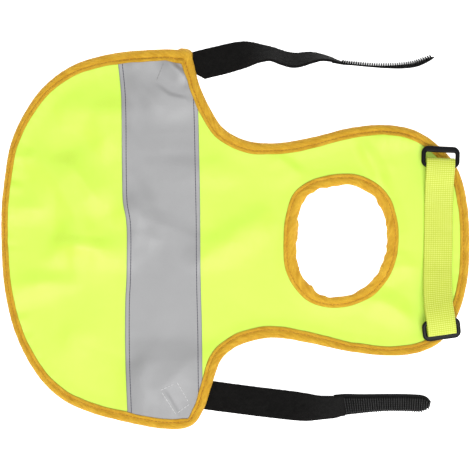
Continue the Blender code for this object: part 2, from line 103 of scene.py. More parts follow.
# Where the inner edge of the edge binding is mitred. Columns: x, y, reach along each side
MITRES = (
    (-35.3, 110.9, 10.0),
    (-30.7, -119.4, 11.0),
)
# How much sooner than at an even pace the mitred points reach their corner
MITRE_PACE = 1.08

# Where each strip's ends overlap: middle, direction of the strip there, half the length of the overlap
OUTER_JOIN = ((-33.0, 117.0), (1.0, -0.35), 5.2)
NECK_JOIN = ((40.0, 2.5), (0.0, 1.0), 7.0)
# How far the overlap is raised and overhangs, how wide its step is, and its reach in half lengths
JOIN_LIFT = 1.1
JOIN_OVERHANG = 0.9
JOIN_STEP = 1.2
JOIN_REACH = 2.5

# Small folds that stand out of the neck strip's edge. Columns: x, y, how far, how broad
NECK_SNAGS = (
    (49.0, -34.2, 1.5, 1.6),
    (55.5, 30.2, -0.9, 2.6),
    (94.5, 20.5, 0.7, 2.2),
)

# Outer edge of the edge binding, from the lobe's upper front corner, anticlockwise from above.
# Columns: x, y, visible width of the binding
OUTLINE = (
    (-29.6, 119.6, 6.6),
    (-36.0, 120.9, 7.2),
    (-60.0, 120.6, 7.6),
    (-84.5, 117.7, 7.2),
    (-107.0, 110.4, 6.6),
    (-125.1, 97.0, 6.0),
    (-137.7, 79.6, 5.4),
    (-146.4, 60.2, 4.9),
    (-151.3, 31.6, 4.5),
    (-152.9, 4.9, 4.4),
    (-150.4, -35.9, 4.8),
    (-142.8, -66.6, 5.4),
    (-128.4, -92.6, 5.8),
    (-114.0, -106.7, 6.1),
    (-96.4, -115.3, 6.4),
    (-70.0, -122.4, 6.6),
    (-46.0, -126.5, 6.7),
    (-33.0, -126.0, 6.7),
    (-26.4, -122.7, 6.6),
    (-20.5, -113.6, 6.6),
    (-14.5, -95.6, 7.0),
    (-8.9, -81.1, 7.4),
    (-0.8, -74.0, 7.6),
    (10.0, -69.5, 7.8),
    (25.3, -67.2, 7.6),
    (45.3, -70.0, 7.0),
    (76.3, -76.4, 6.2),
    (103.0, -78.9, 6.1),
    (122.0, -76.1, 6.1),
    (135.5, -68.5, 6.1),
    (146.0, -50.5, 6.1),
    (151.4, -31.0, 6.1),
    (153.0, -8.0, 6.1),
    (151.4, 21.0, 6.1),
    (145.3, 43.1, 6.1),
    (133.6, 57.7, 6.3),
    (118.6, 67.9, 6.5),
    (100.0, 71.9, 6.5),
    (76.0, 70.3, 6.8),
    (50.0, 63.9, 7.2),
    (27.2, 60.2, 7.4),
    (8.0, 61.6, 7.6),
    (-7.4, 69.6, 7.6),
    (-16.5, 83.0, 7.2),
    (-23.5, 98.5, 6.8),
    (-27.2, 113.0, 6.6),
)

# Inner edge of the neck binding, clockwise from above, from the side nearest the neck end.
# Columns: x, y, visible width of the binding
NECK = (
    (98.6, -4.0, 7.9),
    (95.7, -18.0, 7.9),
    (89.7, -28.6, 7.8),
    (81.9, -35.2, 7.6),
    (70.8, -39.8, 7.2),
    (58.2, -39.1, 7.6),
    (49.9, -33.8, 8.7),
    (42.0, -21.8, 8.9),
    (40.0, -5.6, 8.5),
    (40.8, 8.0, 8.3),
    (44.2, 20.6, 8.3),
    (50.5, 27.1, 8.0),
    (60.3, 30.6, 7.8),
    (73.5, 32.0, 7.8),
    (82.5, 29.7, 7.9),
    (90.8, 24.0, 8.1),
    (96.4, 14.3, 7.9),
)

# Long edges of the reflective tape, carried on past the lobe's top and bottom. Columns: x, y
TAPE_BACK_EDGE = (
    (-77.4, 126.0),
    (-76.5, 113.0),
    (-74.3, 89.0),
    (-73.8, 42.0),
    (-73.2, 21.6),
    (-71.0, 8.5),
    (-71.0, -28.7),
    (-71.7, -42.4),
    (-71.8, -75.1),
    (-70.2, -118.5),
    (-69.8, -130.0),
)
TAPE_FRONT_EDGE = (
    (-26.0, 126.0),
    (-25.5, 110.0),
    (-24.2, 80.0),
    (-23.5, 49.0),
    (-23.0, 22.0),
    (-22.6, -29.0),
    (-21.8, -60.0),
    (-21.4, -92.0),
    (-21.0, -130.0),
)

# Creases laid over the panel's large folds, ridges up and troughs down, each along a crest line.
# Columns: reach to the left of the crest, reach to its right, height, points of the crest
CREASES = (
    # Back lobe: the diagonal ridge, the hooked ridge below it and the long one by the back edge
    (16.0, 20.0, 4.4, ((-119.0, 53.0), (-106.0, 43.0), (-93.5, 28.0), (-83.0, 13.0))),
    (7.0, 27.0, 2.3, ((-117.0, -11.5), (-109.5, -9.0), (-101.0, -8.5), (-88.4, -9.8), (-76.0, -9.5))),
    (34.0, 15.0, 2.6, ((-160.0, -38.0), (-134.0, -32.5), (-112.0, -27.5))),
    # Soft rise over the lobe's upper front, and hollows that soften the large folds
    (16.0, 24.0, 0.8, ((-96.0, 77.0), (-90.0, 77.5), (-66.0, 77.0))),
    (20.0, 22.0, -2.2, ((-88.0, 62.0), (-76.0, 39.0), (-66.0, 16.0))),
    (18.0, 20.0, -2.2, ((-110.0, -68.0), (-83.0, -77.0), (-54.0, -86.0))),
    (8.0, 12.0, -1.1, ((-122.0, 58.5), (-104.7, 62.5), (-84.0, 58.0))),
    # Puckers by the back edge
    (18.0, 11.0, 3.1, ((-162.0, 18.0), (-138.0, 17.7), (-117.0, 17.0))),
    (5.0, 7.0, 1.6, ((-156.0, 51.5), (-140.0, 51.0), (-128.0, 50.0))),
    (4.0, 5.0, 1.0, ((-158.0, 31.5), (-136.0, 30.0))),
    (5.0, 5.0, 0.9, ((-150.0, -57.0), (-132.0, -56.0))),
    # Reflective tape
    (8.0, 30.0, 1.1,
     ((-80.0, 15.5), (-70.0, 14.0), (-58.0, 10.5), (-44.0, 5.0), (-22.0, -5.0), (-12.0, -8.0))),
    (19.0, 30.0, 2.2,
     ((-84.0, -88.5), (-66.0, -96.5), (-54.0, -101.0), (-43.0, -95.5), (-32.0, -85.0), (-12.0, -73.0))),
    (11.0, 16.0, 1.3, ((-74.0, 3.0), (-61.0, 0.0), (-46.0, -5.0))),
    (1.6, 9.0, 2.8, ((-48.0, 117.5), (-38.5, 109.0), (-28.5, 100.5))),
    (1.6, 20.0, 1.0, ((-55.0, 99.6), (-49.0, 95.4), (-43.5, 91.3), (-36.0, 89.3), (-26.0, 87.0))),
    (1.5, 6.0, 0.8, ((-49.0, -98.0), (-42.0, -109.0), (-35.5, -121.0))),
    (4.0, 7.0, 0.6, ((-70.0, 103.0), (-45.0, 79.5))),
    (13.0, 15.0, -1.9, ((-64.0, 50.0), (-46.0, 52.0), (-28.0, 52.0), (-6.0, 50.0))),
    # Middle
    (24.0, 24.0, 1.3, ((-23.0, -10.6), (-6.7, -6.5), (3.1, 4.6), (11.0, 9.0), (30.0, 1.0))),
    (12.0, 14.0, -0.9, ((-18.0, -48.0), (14.0, -47.0))),
    (4.5, 8.0, 1.4, ((20.0, 55.0), (30.0, 49.0), (46.0, 37.0))),
    # Neck end
    (6.5, 6.0, 2.2, ((80.0, 66.0), (86.5, 52.5), (93.5, 38.0), (100.0, 24.0))),
    (3.0, 14.0, 3.4, ((87.0, 63.0), (98.0, 65.0), (108.0, 64.0), (118.0, 59.0))),
    (9.0, 12.0, 2.2, ((76.0, -40.0), (86.0, -41.5), (97.9, -44.4), (112.9, -54.2), (120.0, -60.0))),
    (9.0, 10.0, 1.8, ((94.0, -29.0), (107.7, -20.2), (124.0, -22.8))),
)
# How soon a crease sinks towards its ends, as a share of its length, and the share that is left there
CREASE_TAPER = 0.4
CREASE_END = 0.1
# Rounding of a crest, at most and as a share of its reach, and how steeply its sides fall
CREASE_ROUNDING = 2.0
CREASE_TURN = 0.4
CREASE_FALL = 1.35
# Straight spans from one point of a crest to the next
CREST_STEPS = 4

# Slack all over the cloth: size of its soft waves, and their height
SLACK = ((34.0, 0.2), (15.0, 0.12), (6.5, 0.07))

# Folds beside a bound edge: the share of their height that the seam leaves, and where it starts to rise
HELD_SHARE = 0.65
HELD_REACH = 4.0
HELD_EASE = 9.0

# Small gathers of the panel along its bound edges: spacing, height, where they start to fade, how fast
GATHER_SPACING = 5.0
GATHER_HEIGHT = 0.5
GATHER_START = 5.0
GATHER_REACH = 5.0

# Spots to each station of a binding by which the panel finds its edge
SPOTS_PER_STATION = 4

# Passes that round the solid's facets away
PANEL_SMOOTHING_PASSES = 14

# How the cloth meets the floor: the gap left, how softly it turns, and where the turn no longer counts
FLOOR_CLEARANCE = 0.04
FLOOR_SOFTNESS = 0.5
FLOOR_TURN_LIMIT = 20

# Reflective tape: length that is divided, how far it is tucked under the binding, and where along Y its
# two ends are looked for, from inside to outside
TAPE_RUN = 240.0
TAPE_TUCK = 1.6
TAPE_ENDS = ((-80.0, -130.0), (80.0, 126.0))
TAPE_END_HALVINGS = 9

# Bindings: stations over which the lower leg is evened, how deep they press on the tape, puckers of the
# strip (two wave lengths and the share of the finer), waves of its cut edge, waver of its width
LEVEL_SPAN = 3
TAPE_PRESS = 0.15
PUCKER_SIZES = (5.5, 2.6)
FINE_PUCKER = 0.6
EDGE_DIP_SIZE = 4.0
WIDTH_WAVER = 0.35
WIDTH_WAVER_SIZE = 9.0

# Straps, from the root's end to the tip, along their middle line.
# Columns: x, y, tilt in degrees by which the inner long edge is raised
STRAP_LOWER = (
    (-49.2, -100.4, 0.0),
    (-17.5, -104.6, 0.0),
    (10.0, -108.2, 0.0),
    (37.1, -111.4, 4.0),
    (47.0, -112.3, 17.0),
    (55.4, -112.4, 32.0),
    (63.0, -111.9, 37.0),
    (71.0, -110.7, 41.5),
    (84.8, -109.7, 49.0),
    (97.6, -109.1, 52.5),
    (110.0, -109.1, 53.0),
    (126.8, -110.0, 53.0),
)
STRAP_UPPER = (
    (-49.2, 103.4, 0.0),
    (-24.3, 110.6, 0.0),
    (-9.4, 114.2, 0.0),
    (3.9, 117.3, 17.0),
    (16.6, 118.2, 49.5),
    (24.2, 117.5, 59.5),
    (31.0, 115.1, 59.0),
    (38.0, 113.6, 57.5),
    (49.2, 115.3, 65.5),
    (57.3, 115.2, 76.0),
    (70.7, 111.9, 83.0),
    (84.8, 110.2, 84.0),
    (99.0, 109.5, 82.0),
    (109.0, 109.8, 80.0),
    (117.0, 111.0, 80.0),
    (128.6, 115.8, 83.0),
)
LOOP_LENGTH = 121.0
TAPE_JOINT_OVERLAP = 6.0
TAPE_JOINT_EASE = 9.0
TIP_ROUNDING = 8.5
TIP_BLUNTNESS = 0.3
LOOP_END_WALL = 1.0
HOOK_BASE_WALL = 0.7
HOOK_SEWN_GAP = 0.05
RIB_ON_HOOK_TAPE = 0.08

# Pile of the loop tape. Columns: height, size of its tufts. Then what sticks out at its long edges
PILE = ((0.22, 1.6), (0.12, 0.9))
PILE_SUNK = 0.15
PILE_LEAST = 0.25
FUZZ = 0.25
FUZZ_SIZE = 1.2
FUZZ_WIDTH = 1.0
LOOP_MARGIN = 0.2

# Points along the top of each tape's section
LOOP_POINTS = 18
HOOK_POINTS = 16
WEBBING_POINTS = 20

# Slanting cut at the upper strap's root: distance along the strap, half width left there, widening per mm
ROOT_CUT = (23.8, 5.7, 0.96)

# Rings: outer size, bars, thickness
RING_LENGTH = 25.0
RING_DEPTH = 14.2
RING_INNER_BAR = 3.0
RING_OUTER_BAR = 4.0
RING_SIDE_BAR = 2.9
RING_THICKNESS = 2.8
RING_CORNER = 4.4
RING_WINDOW_CORNER = 1.0
RING_CORNER_STEPS = 10
RING_EDGE_ROUNDING = 1.0
RING_EDGE_STEPS = 4
RING_RIM_ANGLE = math.radians(60)

# Where each ring's inner bar lies. Columns: name, body, x, y, z, turn about Z, slope, outward along Y
RINGS = (
    ("ring_upper", "upper_ring", 133.34, 45.16, 7.2, -2.5, 8.0, 1),
    ("ring_lower", "lower_ring", 133.34, -56.04, 9.5, 7.5, 20.0, -1),
)

# Chest webbing, its middle line seen from above, from the lower fold's end to the upper one's.
# Columns: x, y, turn of its width about Z in degrees
WEBBING_PLAN = (
    (134.5, -64.7, 7.5),
    (133.0, -53.1, 7.5),
    (131.8, -42.9, 7.0),
    (131.8, -25.0, 2.0),
    (132.4, -5.0, 0.0),
    (132.6, 15.0, -1.0),
    (132.8, 29.8, -2.5),
    (133.2, 40.5, -2.5),
    (133.6, 49.7, -2.5),
)
# The same webbing seen from its edge, from one tucked end to the other.
# Columns: distance from the lower fold's end along that line, height of its middle
WEBBING_SIDE = (
    (21.0, 4.8),
    (15.0, 4.8),
    (8.6, 4.8),
    (3.6, 5.4),
    (1.0, 6.9),
    (0.4, 8.8),
    (1.6, 10.8),
    (5.0, 12.0),
    (8.6, 12.3),
    (13.5, 11.7),
    (20.0, 10.0),
    (27.0, 7.9),
    (35.0, 5.7),
    (44.0, 4.0),
    (54.0, 3.1),
    (68.0, 2.8),
    (84.0, 3.3),
    (93.0, 4.9),
    (99.0, 6.5),
    (104.0, 8.4),
    (110.2, 9.75),
    (113.5, 9.0),
    (114.4, 7.2),
    (113.4, 5.5),
    (110.2, 4.8),
    (105.0, 4.8),
    (99.5, 4.8),
)
WEBBING_THICKNESS = 1.1
RIB_PITCH = 1.3
RIB_DEPTH = 0.16
# Unevenness of the webbing's faces and of its long edges: height and size of the waves
WEBBING_SAG = (0.12, 7.0)
WEBBING_EDGE = (0.15, 3.0)
WEBBING_EDGE_WIDTH = 0.5

# Stitches: pitch on the bindings and the tape, size, half the stretch that each lies over, and lift
STITCH_PITCH = 2.4
TAPE_STITCH_PITCH = 1.9
STITCH_LENGTH = 2.2
STITCH_THICKNESS = 0.5
STITCH_HALF_REACH = 0.7
STITCH_LIFT = 0.05
TAPE_STITCH_INSET = 2.7
BINDING_STITCH_INSET = 2.1
SEAM_SAMPLES = 400

# Stitched boxes that hold the strap roots, seen on the tape. Columns: name, grey of the thread, corners.
# The upper box's dark grey is partly its thread and partly painted shade of a crease along its line
ROOT_BOXES = (
    ("lower", 0.62, ((-48.7, -101.0), (-37.8, -96.0), (-29.7, -110.0), (-38.7, -116.6), (-48.7, -101.0))),
    # Dark grey here: thread, together with painted crease shade
    ("upper", 0.28, ((-46.8, 112.0), (-51.8, 99.5))),
)
TAPE_THREAD = (0.06, 0.055, 0.085)
# Binding thread: brown, darker than the strip, partly its own colour and partly painted shade of its needle
# holes and stitch groove
BINDING_THREAD_AND_PAINTED_SHADE = (0.42, 0.17, 0.008)

# Hook tape: pitch of the hooks across and along it, the woven edge without hooks, slant of their rows
HOOK_ROW_PITCH = 1.2
HOOK_PITCH = 1.5
SELVEDGE = 1.7
HOOK_SKEW = 0.07
HOOK_END_GAP = 0.8
HOOK_SIDE_GAP = 0.9
HOOK_SCATTER = 0.1
HOOK_TALLNESS = (0.95, 1.05)

# One hook: half its thread's width, and its stages. Columns: step along, step up, bend in degrees
HOOK_RADIUS = 0.43
HOOK_STAGES = (
    (0.0, 0.95, 0),
    (0.1, 0.5, 35),
    (0.3, 0.12, 60),
    (0.24, -0.26, 60),
)

# The photograph: its edge in pixels, its scale, and the vest's middle in it
PHOTO_SIZE = 470
MM_PER_PIXEL = 0.6536
MIDDLE_PIXEL = (235.25, 235.05)
CAMERA_HEIGHT = 1400.0
CAMERA_REACH = 20.0
SENSOR = 36.0

# Finishes: the share by which yarns take turns, heights of reliefs in metres, sizes of crumples, wrinkles
# and twist, the painted shade that follows the wrinkles, the painted shade between the webbing's ribs, and
# how unevenly dull the rings are
YARN_TURN = 0.35
YARN_RELIEF = 0.0002
SHEEN_ROUGHNESS = 0.4
CRUMPLE_SCALE = 160.0
WRINKLE_SLANT = 28
WRINKLE_SIZE = (0.008, 0.0017, 1.0)
WRINKLE_PAINTED_SHADE = 1.3
TWIST_SCALE = 1500.0
WEBBING_PAINTED_SHADE_SHARES = (0.55, 0.62, 0.14)
RING_WEAR = 0.2
RING_RELIEF = 0.0001

# Lights. Columns: name, place and size in metres, share of the key light's power
LIGHTS = (
    ("Key", (0.3, -1.2, 1.65), 1.05, 1.0),
    ("Top", (0.0, 0.2, 1.6), 0.9, 0.18),
)
FLOOR_HALF_SIZE = 3000.0
FLOOR_WHITE = 0.85


# Lines and places

def smooth_line(rows, closed, per_span=16):
    """A smooth curve through rows of any width: a centripetal Catmull-Rom spline, finely sampled."""
    count = len(rows)
    points = [Vector(row) for row in rows]
    if not closed:
        points = [points[0] * 2 - points[1], *points, points[-1] * 2 - points[-2]]
    spans = range(count) if closed else range(1, count)
    line = []
    for i in spans:
        a, b, c, d = (points[(i + k) % len(points)] for k in (-1, 0, 1, 2))
        t1 = (b - a).length ** 0.5
        t2 = t1 + (c - b).length ** 0.5
        t3 = t2 + (d - c).length ** 0.5
        for k in range(per_span):
            t = t1 + (t2 - t1) * k / per_span
            ab = a.lerp(b, t / t1)
            bc = b.lerp(c, (t - t1) / (t2 - t1))
            cd = c.lerp(d, (t - t2) / (t3 - t2))
            abc = ab.lerp(bc, t / t2)
            bcd = bc.lerp(cd, (t - t1) / (t3 - t1))
            line.append(abc.lerp(bcd, (t - t1) / (t2 - t1)))
    if not closed:
        line.append(points[-2])
    return line


def plan_length(a, b):
    """Distance between two points seen from above."""
    return math.hypot(b[0] - a[0], b[1] - a[1])


def smooth_step(value):
    """Eases from 0 to 1 as the value goes from 0 to 1."""
    value = max(0.0, min(1.0, value))
    return value * value * (3 - 2 * value)


class Path:
    """A smooth line that is read by the distance along it, seen from above."""

    def __init__(self, line, closed=False):
        self.line = line + line[:1] if closed else line
        self.marks = [0.0]
        for a, b in zip(self.line, self.line[1:]):
            self.marks.append(self.marks[-1] + plan_length(a, b))
        self.length = self.marks[-1]

    def at(self, distance):
        """The row at a distance along the line, carried on straight past its ends."""
        k = max(1, min(len(self.marks) - 1, bisect.bisect_left(self.marks, distance)))
        share = (distance - self.marks[k - 1]) / (self.marks[k] - self.marks[k - 1])
        return self.line[k - 1] + (self.line[k] - self.line[k - 1]) * share

    def direction(self, distance):
        """The line's direction from above."""
        return (self.at(distance + 1.0).xy - self.at(distance - 1.0).xy).normalized()

    def even(self, spacing):
        """Distances along the line, evenly spaced from one end to the other."""
        count = max(2, round(self.length / spacing))
        return [self.length * k / count for k in range(count + 1)]


def inset(ring, depths):
    """A closed anticlockwise ring moved inwards by a depth at each point, in small even steps."""
    points = [p.xy for p in ring]
    count = len(points)
    step_count = max(1, math.ceil(max(abs(d) for d in depths) / INSET_STEP))
    for _ in range(step_count):
        moved = []
        for i, point in enumerate(points):
            before = (point - points[i - 1]).normalized()
            after = (points[(i + 1) % count] - point).normalized()
            mitre = (before + after).normalized()
            inward = Vector((-mitre.y, mitre.x))
            reach = depths[i] / step_count / max(0.6, mitre.dot(after))
            moved.append(point + inward * reach)
        points = moved
        for _ in range(INSET_EVENING_PASSES):
            evened = []
            for i, point in enumerate(points):
                a = points[i - 1]
                b = points[(i + 1) % count]
                along = (b - a).normalized()
                evened.append(point + along * along.dot((a + b) / 2 - point) * 0.5)
            points = evened
    return points


def mitred(ring):
    """A ring with its tight corners drawn to a point."""
    points = list(ring)
    for x, y, reach in MITRES:
        corner = Vector((x, y))
        before, after = (nearest_of(ring, corner, reach, step) for step in (-1, 1))
        for i, point in enumerate(ring):
            if (point - corner).length < reach:
                side = before if (point - before).length < (point - after).length else after
                share = (corner - side).normalized().dot(point - side) / (corner - side).length
                points[i] = side.lerp(corner, max(0.0, min(1.0, share * MITRE_PACE)))
    return points


def nearest_of(ring, corner, reach, step):
    """The point of a ring where it enters the reach of a corner, coming from one side."""
    i = min(range(len(ring)), key=lambda k: (ring[k] - corner).length)
    while (ring[i % len(ring)] - corner).length < reach:
        i += step
    return ring[i % len(ring)]


def inside(point, ring):
    """Whether a point lies inside a closed ring, seen from above."""
    crossings = 0
    for a, b in zip(ring, ring[1:] + ring[:1]):
        if (a.y > point.y) != (b.y > point.y):
            crossings += point.x < a.x + (point.y - a.y) / (b.y - a.y) * (b.x - a.x)
    return crossings % 2 == 1


class Edge:
    """One bound edge: the binding's fold, the panel's own edge and the binding's inner edge."""

    def __init__(self, rows, waver, join, snags):
        path = Path(smooth_line(rows, closed=True), closed=True)
        placed = [path.at(d) for d in path.even(BINDING_SPACING)[:-1]]
        self.length = path.length
        self.widths = [p.z for p in placed]
        line = [p.xy for p in placed]
        self.panel = inset(line, [PANEL_EDGE_DEPTH] * len(placed))
        self.leg = mitred(inset(self.panel, [w + SOLID_GAP - PANEL_EDGE_DEPTH for w in self.widths]))
        self.lifts = [self.lift_at(p, join) for p in line]
        self.fold = []
        for p, inner, lift in zip(line, self.panel, self.lifts):
            outward = (p - inner).normalized()
            reach = lift * JOIN_OVERHANG - waver * abs(soft_noise(*p, WAVER_SPACING, 21.0))
            for x, y, out, spread in snags:
                reach += out * math.exp(-((p - Vector((x, y))).length / spread) ** 2)
            self.fold.append(p + outward * reach)

    @staticmethod
    def lift_at(point, join):
        """How far the overlapped ends of the strip are raised at a place: a step at each end."""
        (x, y), (aim_x, aim_y), half = join
        aim = Vector((aim_x, aim_y)).normalized()
        away = point - Vector((x, y))
        along = abs(away.dot(aim))
        near = away.length < half * JOIN_REACH
        return JOIN_LIFT * smooth_step((half - along) / JOIN_STEP) if near else 0.0

    def at_depth(self, i, depth):
        """The point of station i at a depth from the fold."""
        i %= len(self.fold)
        if depth <= PANEL_EDGE_DEPTH:
            return self.fold[i].lerp(self.panel[i], depth / PANEL_EDGE_DEPTH)
        reach = self.widths[i] + SOLID_GAP - PANEL_EDGE_DEPTH
        return self.panel[i].lerp(self.leg[i], (depth - PANEL_EDGE_DEPTH) / reach)


class Surface:
    """A surface that is read from above."""

    def __init__(self, tree):
        self.tree = tree

    def hit(self, x, y):
        """Height of the surface at a place, or None beside it."""
        found = self.tree.ray_cast(Vector((x, y, 100.0)), Vector((0, 0, -1)))[0]
        return None if found is None else found.z

    def height(self, x, y):
        """Height of the surface at a place, or at its nearest edge."""
        found = self.hit(x, y)
        if found is None:
            found = self.tree.find_nearest(Vector((x, y, 2.5)))[0].z
        return found


def solid_surface(node):
    """The top of a solid of the model, in the tables' frame."""
    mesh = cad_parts[node].data
    places = [v.co / MM + CENTRE for v in mesh.vertices]
    return Surface(BVHTree.FromPolygons(places, [tuple(p.vertices) for p in mesh.polygons]))


def soft_noise(x, y, size, seed=0.0):
    """Smooth noise from -1 to 1 whose waves are about a size long."""
    return noise.noise(Vector((x / size, y / size, seed)))


# Meshes

def ribbon(marks, around, place, capped):
    """A skin of cloth drawn along a path. Sections and points that meet are sewn together.

    marks are the distances of its sections, around the distances of the points in each section, and
    place(i, j) puts point j of section i. capped closes both ends.
    """
    shape = bmesh.new()
    columns = len(marks) - 1
    rows = len(around) - 1
    layer = shape.loops.layers.uv.new("Cloth")
    bmesh.ops.create_grid(shape, x_segments=columns, y_segments=rows, size=0.5, calc_uvs=True)
    cells = {v: (round((v.co.x + 0.5) * columns), round((v.co.y + 0.5) * rows)) for v in shape.verts}
    for vert, (i, j) in cells.items():
        vert.co = place(i, j)
    for face in shape.faces:
        for loop in face.loops:
            i, j = cells[loop.vert]
            loop[layer].uv = (marks[i] * MM, around[j] * MM)
    bmesh.ops.remove_doubles(shape, verts=shape.verts, dist=0.005)
    if capped:
        rims = [edge for edge in shape.edges if edge.is_boundary]
        bmesh.ops.holes_fill(shape, edges=rims, sides=0)
    bmesh.ops.recalc_face_normals(shape, faces=shape.faces)
    return shape


def face_up(shape):
    """Turns an open sheet's faces upwards."""
    if sum(face.normal.z for face in shape.faces) < 0:
        bmesh.ops.reverse_faces(shape, faces=shape.faces)


def girth_marks(points):
    """Distances of a section's points, measured round the section."""
    marks = [0.0]
    for a, b in zip(points, points[1:]):
        marks.append(marks[-1] + math.dist(a, b))
    return marks


def linked(name, data):
    """A new object in the scene."""
    thing = bpy.data.objects.new(name, data)
    bpy.context.scene.collection.objects.link(thing)
    return thing


def finish(name, shape, material, sharp=180.0):
    """An object in metres from a bmesh in millimetres."""
    bmesh.ops.translate(shape, verts=shape.verts, vec=-CENTRE)
    bmesh.ops.scale(shape, vec=(MM, MM, MM), verts=shape.verts)
    mesh = bpy.data.meshes.new(name)
    shape.to_mesh(mesh)
    shape.free()
    mesh.shade_smooth()
    if sharp < 180.0:
        mesh.set_sharp_from_angle(angle=math.radians(sharp))
    mesh.materials.append(material)
    return linked(name, mesh)


def thicken(thing, thickness):
    """Gives an open sheet its thickness, below the face that shows."""
    wall = thing.modifiers.new("Thickness", "SOLIDIFY")
    wall.thickness = thickness * MM
    wall.offset = -1.0


def scattered(name, template, places, material):
    """One mesh with a copy of a small shape at each place."""
    template.verts.index_update()
    corners = [v.co.copy() for v in template.verts]
    faces = [tuple(v.index for v in f.verts) for f in template.faces]
    template.free()
    points = []
    polygons = []
    for place in places:
        first = len(points)
        points += [place @ corner for corner in corners]
        polygons += [tuple(first + i for i in face) for face in faces]
    mesh = bpy.data.meshes.new(name)
    mesh.from_pydata([(point - CENTRE) * MM for point in points], [], polygons)
    mesh.shade_smooth()
    mesh.materials.append(material)
    return linked(name, mesh)


def stitch_shape():
    """One stitch: a short thread that dips into the cloth at both ends."""
    shape = bmesh.new()
    bmesh.ops.create_uvsphere(shape, u_segments=6, v_segments=6, radius=0.5)
    bmesh.ops.rotate(shape, verts=shape.verts, matrix=Matrix.Rotation(math.radians(90), 3, "Y"))
    bmesh.ops.scale(shape, vec=(STITCH_LENGTH, STITCH_THICKNESS, STITCH_THICKNESS), verts=shape.verts)
    return shape


def stitch_places(line, surface, pitch=STITCH_PITCH, lift=STITCH_LIFT):
    """Where stitches lie along a line of points on a surface."""
    path = Path([Vector((*p.xy, 0.0)) for p in line])
    places = []
    for k in range(int(path.length / pitch)):
        middle = (k + 0.5) * pitch
        start, end = path.at(middle - STITCH_HALF_REACH), path.at(middle + STITCH_HALF_REACH)
        start.z = surface.height(*start.xy)
        end.z = surface.height(*end.xy)
        along = (end - start).normalized()
        across = Vector((-along.y, along.x, 0)).normalized()
        up = along.cross(across)
        turn = Matrix((along, across, up)).transposed().to_4x4()
        places.append(Matrix.Translation((start + end) / 2 + up * lift) @ turn)
    return places


# Finishes

def new_group(name, inputs, outputs):
    """An empty shader node group with named number or vector inputs and number outputs."""
    tree = bpy.data.node_groups.new(name, "ShaderNodeTree")
    for label, kind, default in inputs:
        socket = tree.interface.new_socket(label, in_out="INPUT", socket_type=kind)
        if default is not None:
            socket.default_value = default
    for label in outputs:
        tree.interface.new_socket(label, in_out="OUTPUT", socket_type="NodeSocketFloat")
    return tree, tree.nodes.new("NodeGroupInput"), tree.nodes.new("NodeGroupOutput")


def fed(tree, socket, value):
    """Gives an input socket a number or another socket's value."""
    if isinstance(value, (int, float)):
        socket.default_value = value
    else:
        tree.links.new(value, socket)


def worked(tree, operation, *values):
    """A Math node's result from sockets and numbers."""
    node = tree.nodes.new("ShaderNodeMath")
    node.operation = operation
    for socket, value in zip(node.inputs, values):
        fed(tree, socket, value)
    return node.outputs[0]


def noise_of(tree, vector, scale, detail=2.0):
    """A Noise Texture's value."""
    node = tree.nodes.new("ShaderNodeTexNoise")
    tree.links.new(vector, node.inputs["Vector"])
    fed(tree, node.inputs["Scale"], scale)
    node.inputs["Detail"].default_value = detail
    return node.outputs["Fac"]


def yarn_group(name, pitches, height_of):
    """A group that gives the height of crossing yarns, and its opposite, from their pitches."""
    numbers = [(label, "NodeSocketFloat", size) for label, size in pitches]
    tree, given, result = new_group(
        name, [("Vector", "NodeSocketVector", None), *numbers], ("Height", "Hollow"))
    split = tree.nodes.new("ShaderNodeSeparateXYZ")
    tree.links.new(given.outputs["Vector"], split.inputs[0])
    across, along = (worked(tree, "DIVIDE", split.outputs[k], given.outputs[label])
                     for k, (label, _) in enumerate(pitches))
    height = height_of(tree, across, along)
    tree.links.new(height, result.inputs["Height"])
    tree.links.new(worked(tree, "SUBTRACT", 1.0, height), result.inputs["Hollow"])
    return tree


def wave(tree, turns):
    """Round humps, one to each whole turn."""
    return worked(tree, "ABSOLUTE", worked(tree, "SINE", worked(tree, "MULTIPLY", turns, math.pi)))


def weave_height(tree, across, along):
    """Plain weave: crossing yarns that take turns to lie on top."""
    cell = worked(tree, "ADD", worked(tree, "FLOOR", across), worked(tree, "FLOOR", along))
    turn = worked(tree, "COSINE", worked(tree, "MULTIPLY", cell, math.pi))
    over = worked(tree, "MULTIPLY_ADD", turn, YARN_TURN, 1 - YARN_TURN)
    under = worked(tree, "MULTIPLY_ADD", turn, -YARN_TURN, 1 - YARN_TURN)
    warp = worked(tree, "MULTIPLY", wave(tree, across), over)
    weft = worked(tree, "MULTIPLY", wave(tree, along), under)
    return worked(tree, "MAXIMUM", warp, weft)


def rib_height(tree, across, along):
    """Parallel round ribs with thinner yarns across them."""
    rib = worked(tree, "MULTIPLY", wave(tree, across), 1 - YARN_TURN)
    return worked(tree, "MULTIPLY_ADD", wave(tree, along), YARN_TURN, rib)


def weave_group():
    """The node group of a plain weave."""
    return yarn_group("Plain weave", (("Warp pitch", 0.0004), ("Weft pitch", 0.0004)), weave_height)


def rib_group():
    """The node group of ribs."""
    return yarn_group("Ribs", (("Rib pitch", 0.0013), ("Yarn pitch", 0.0006)), rib_height)


def mottle_group():
    """Soft uneven patches of tone, from broad to fine."""
    tree, given, result = new_group(
        "Mottle",
        (("Vector", "NodeSocketVector", None), ("Broad scale", "NodeSocketFloat", 20.0),
         ("Fine scale", "NodeSocketFloat", 900.0), ("Fine share", "NodeSocketFloat", 0.3)),
        ("Tone",))
    broad = noise_of(tree, given.outputs["Vector"], given.outputs["Broad scale"])
    fine = noise_of(tree, given.outputs["Vector"], given.outputs["Fine scale"])
    share = given.outputs["Fine share"]
    kept = worked(tree, "MULTIPLY", broad, worked(tree, "SUBTRACT", 1.0, share))
    tree.links.new(worked(tree, "MULTIPLY_ADD", fine, share, kept), result.inputs["Tone"])
    return tree


def shared_group(name, build):
    """A node group by name, built the first time it is asked for."""
    return bpy.data.node_groups.get(name) or build()


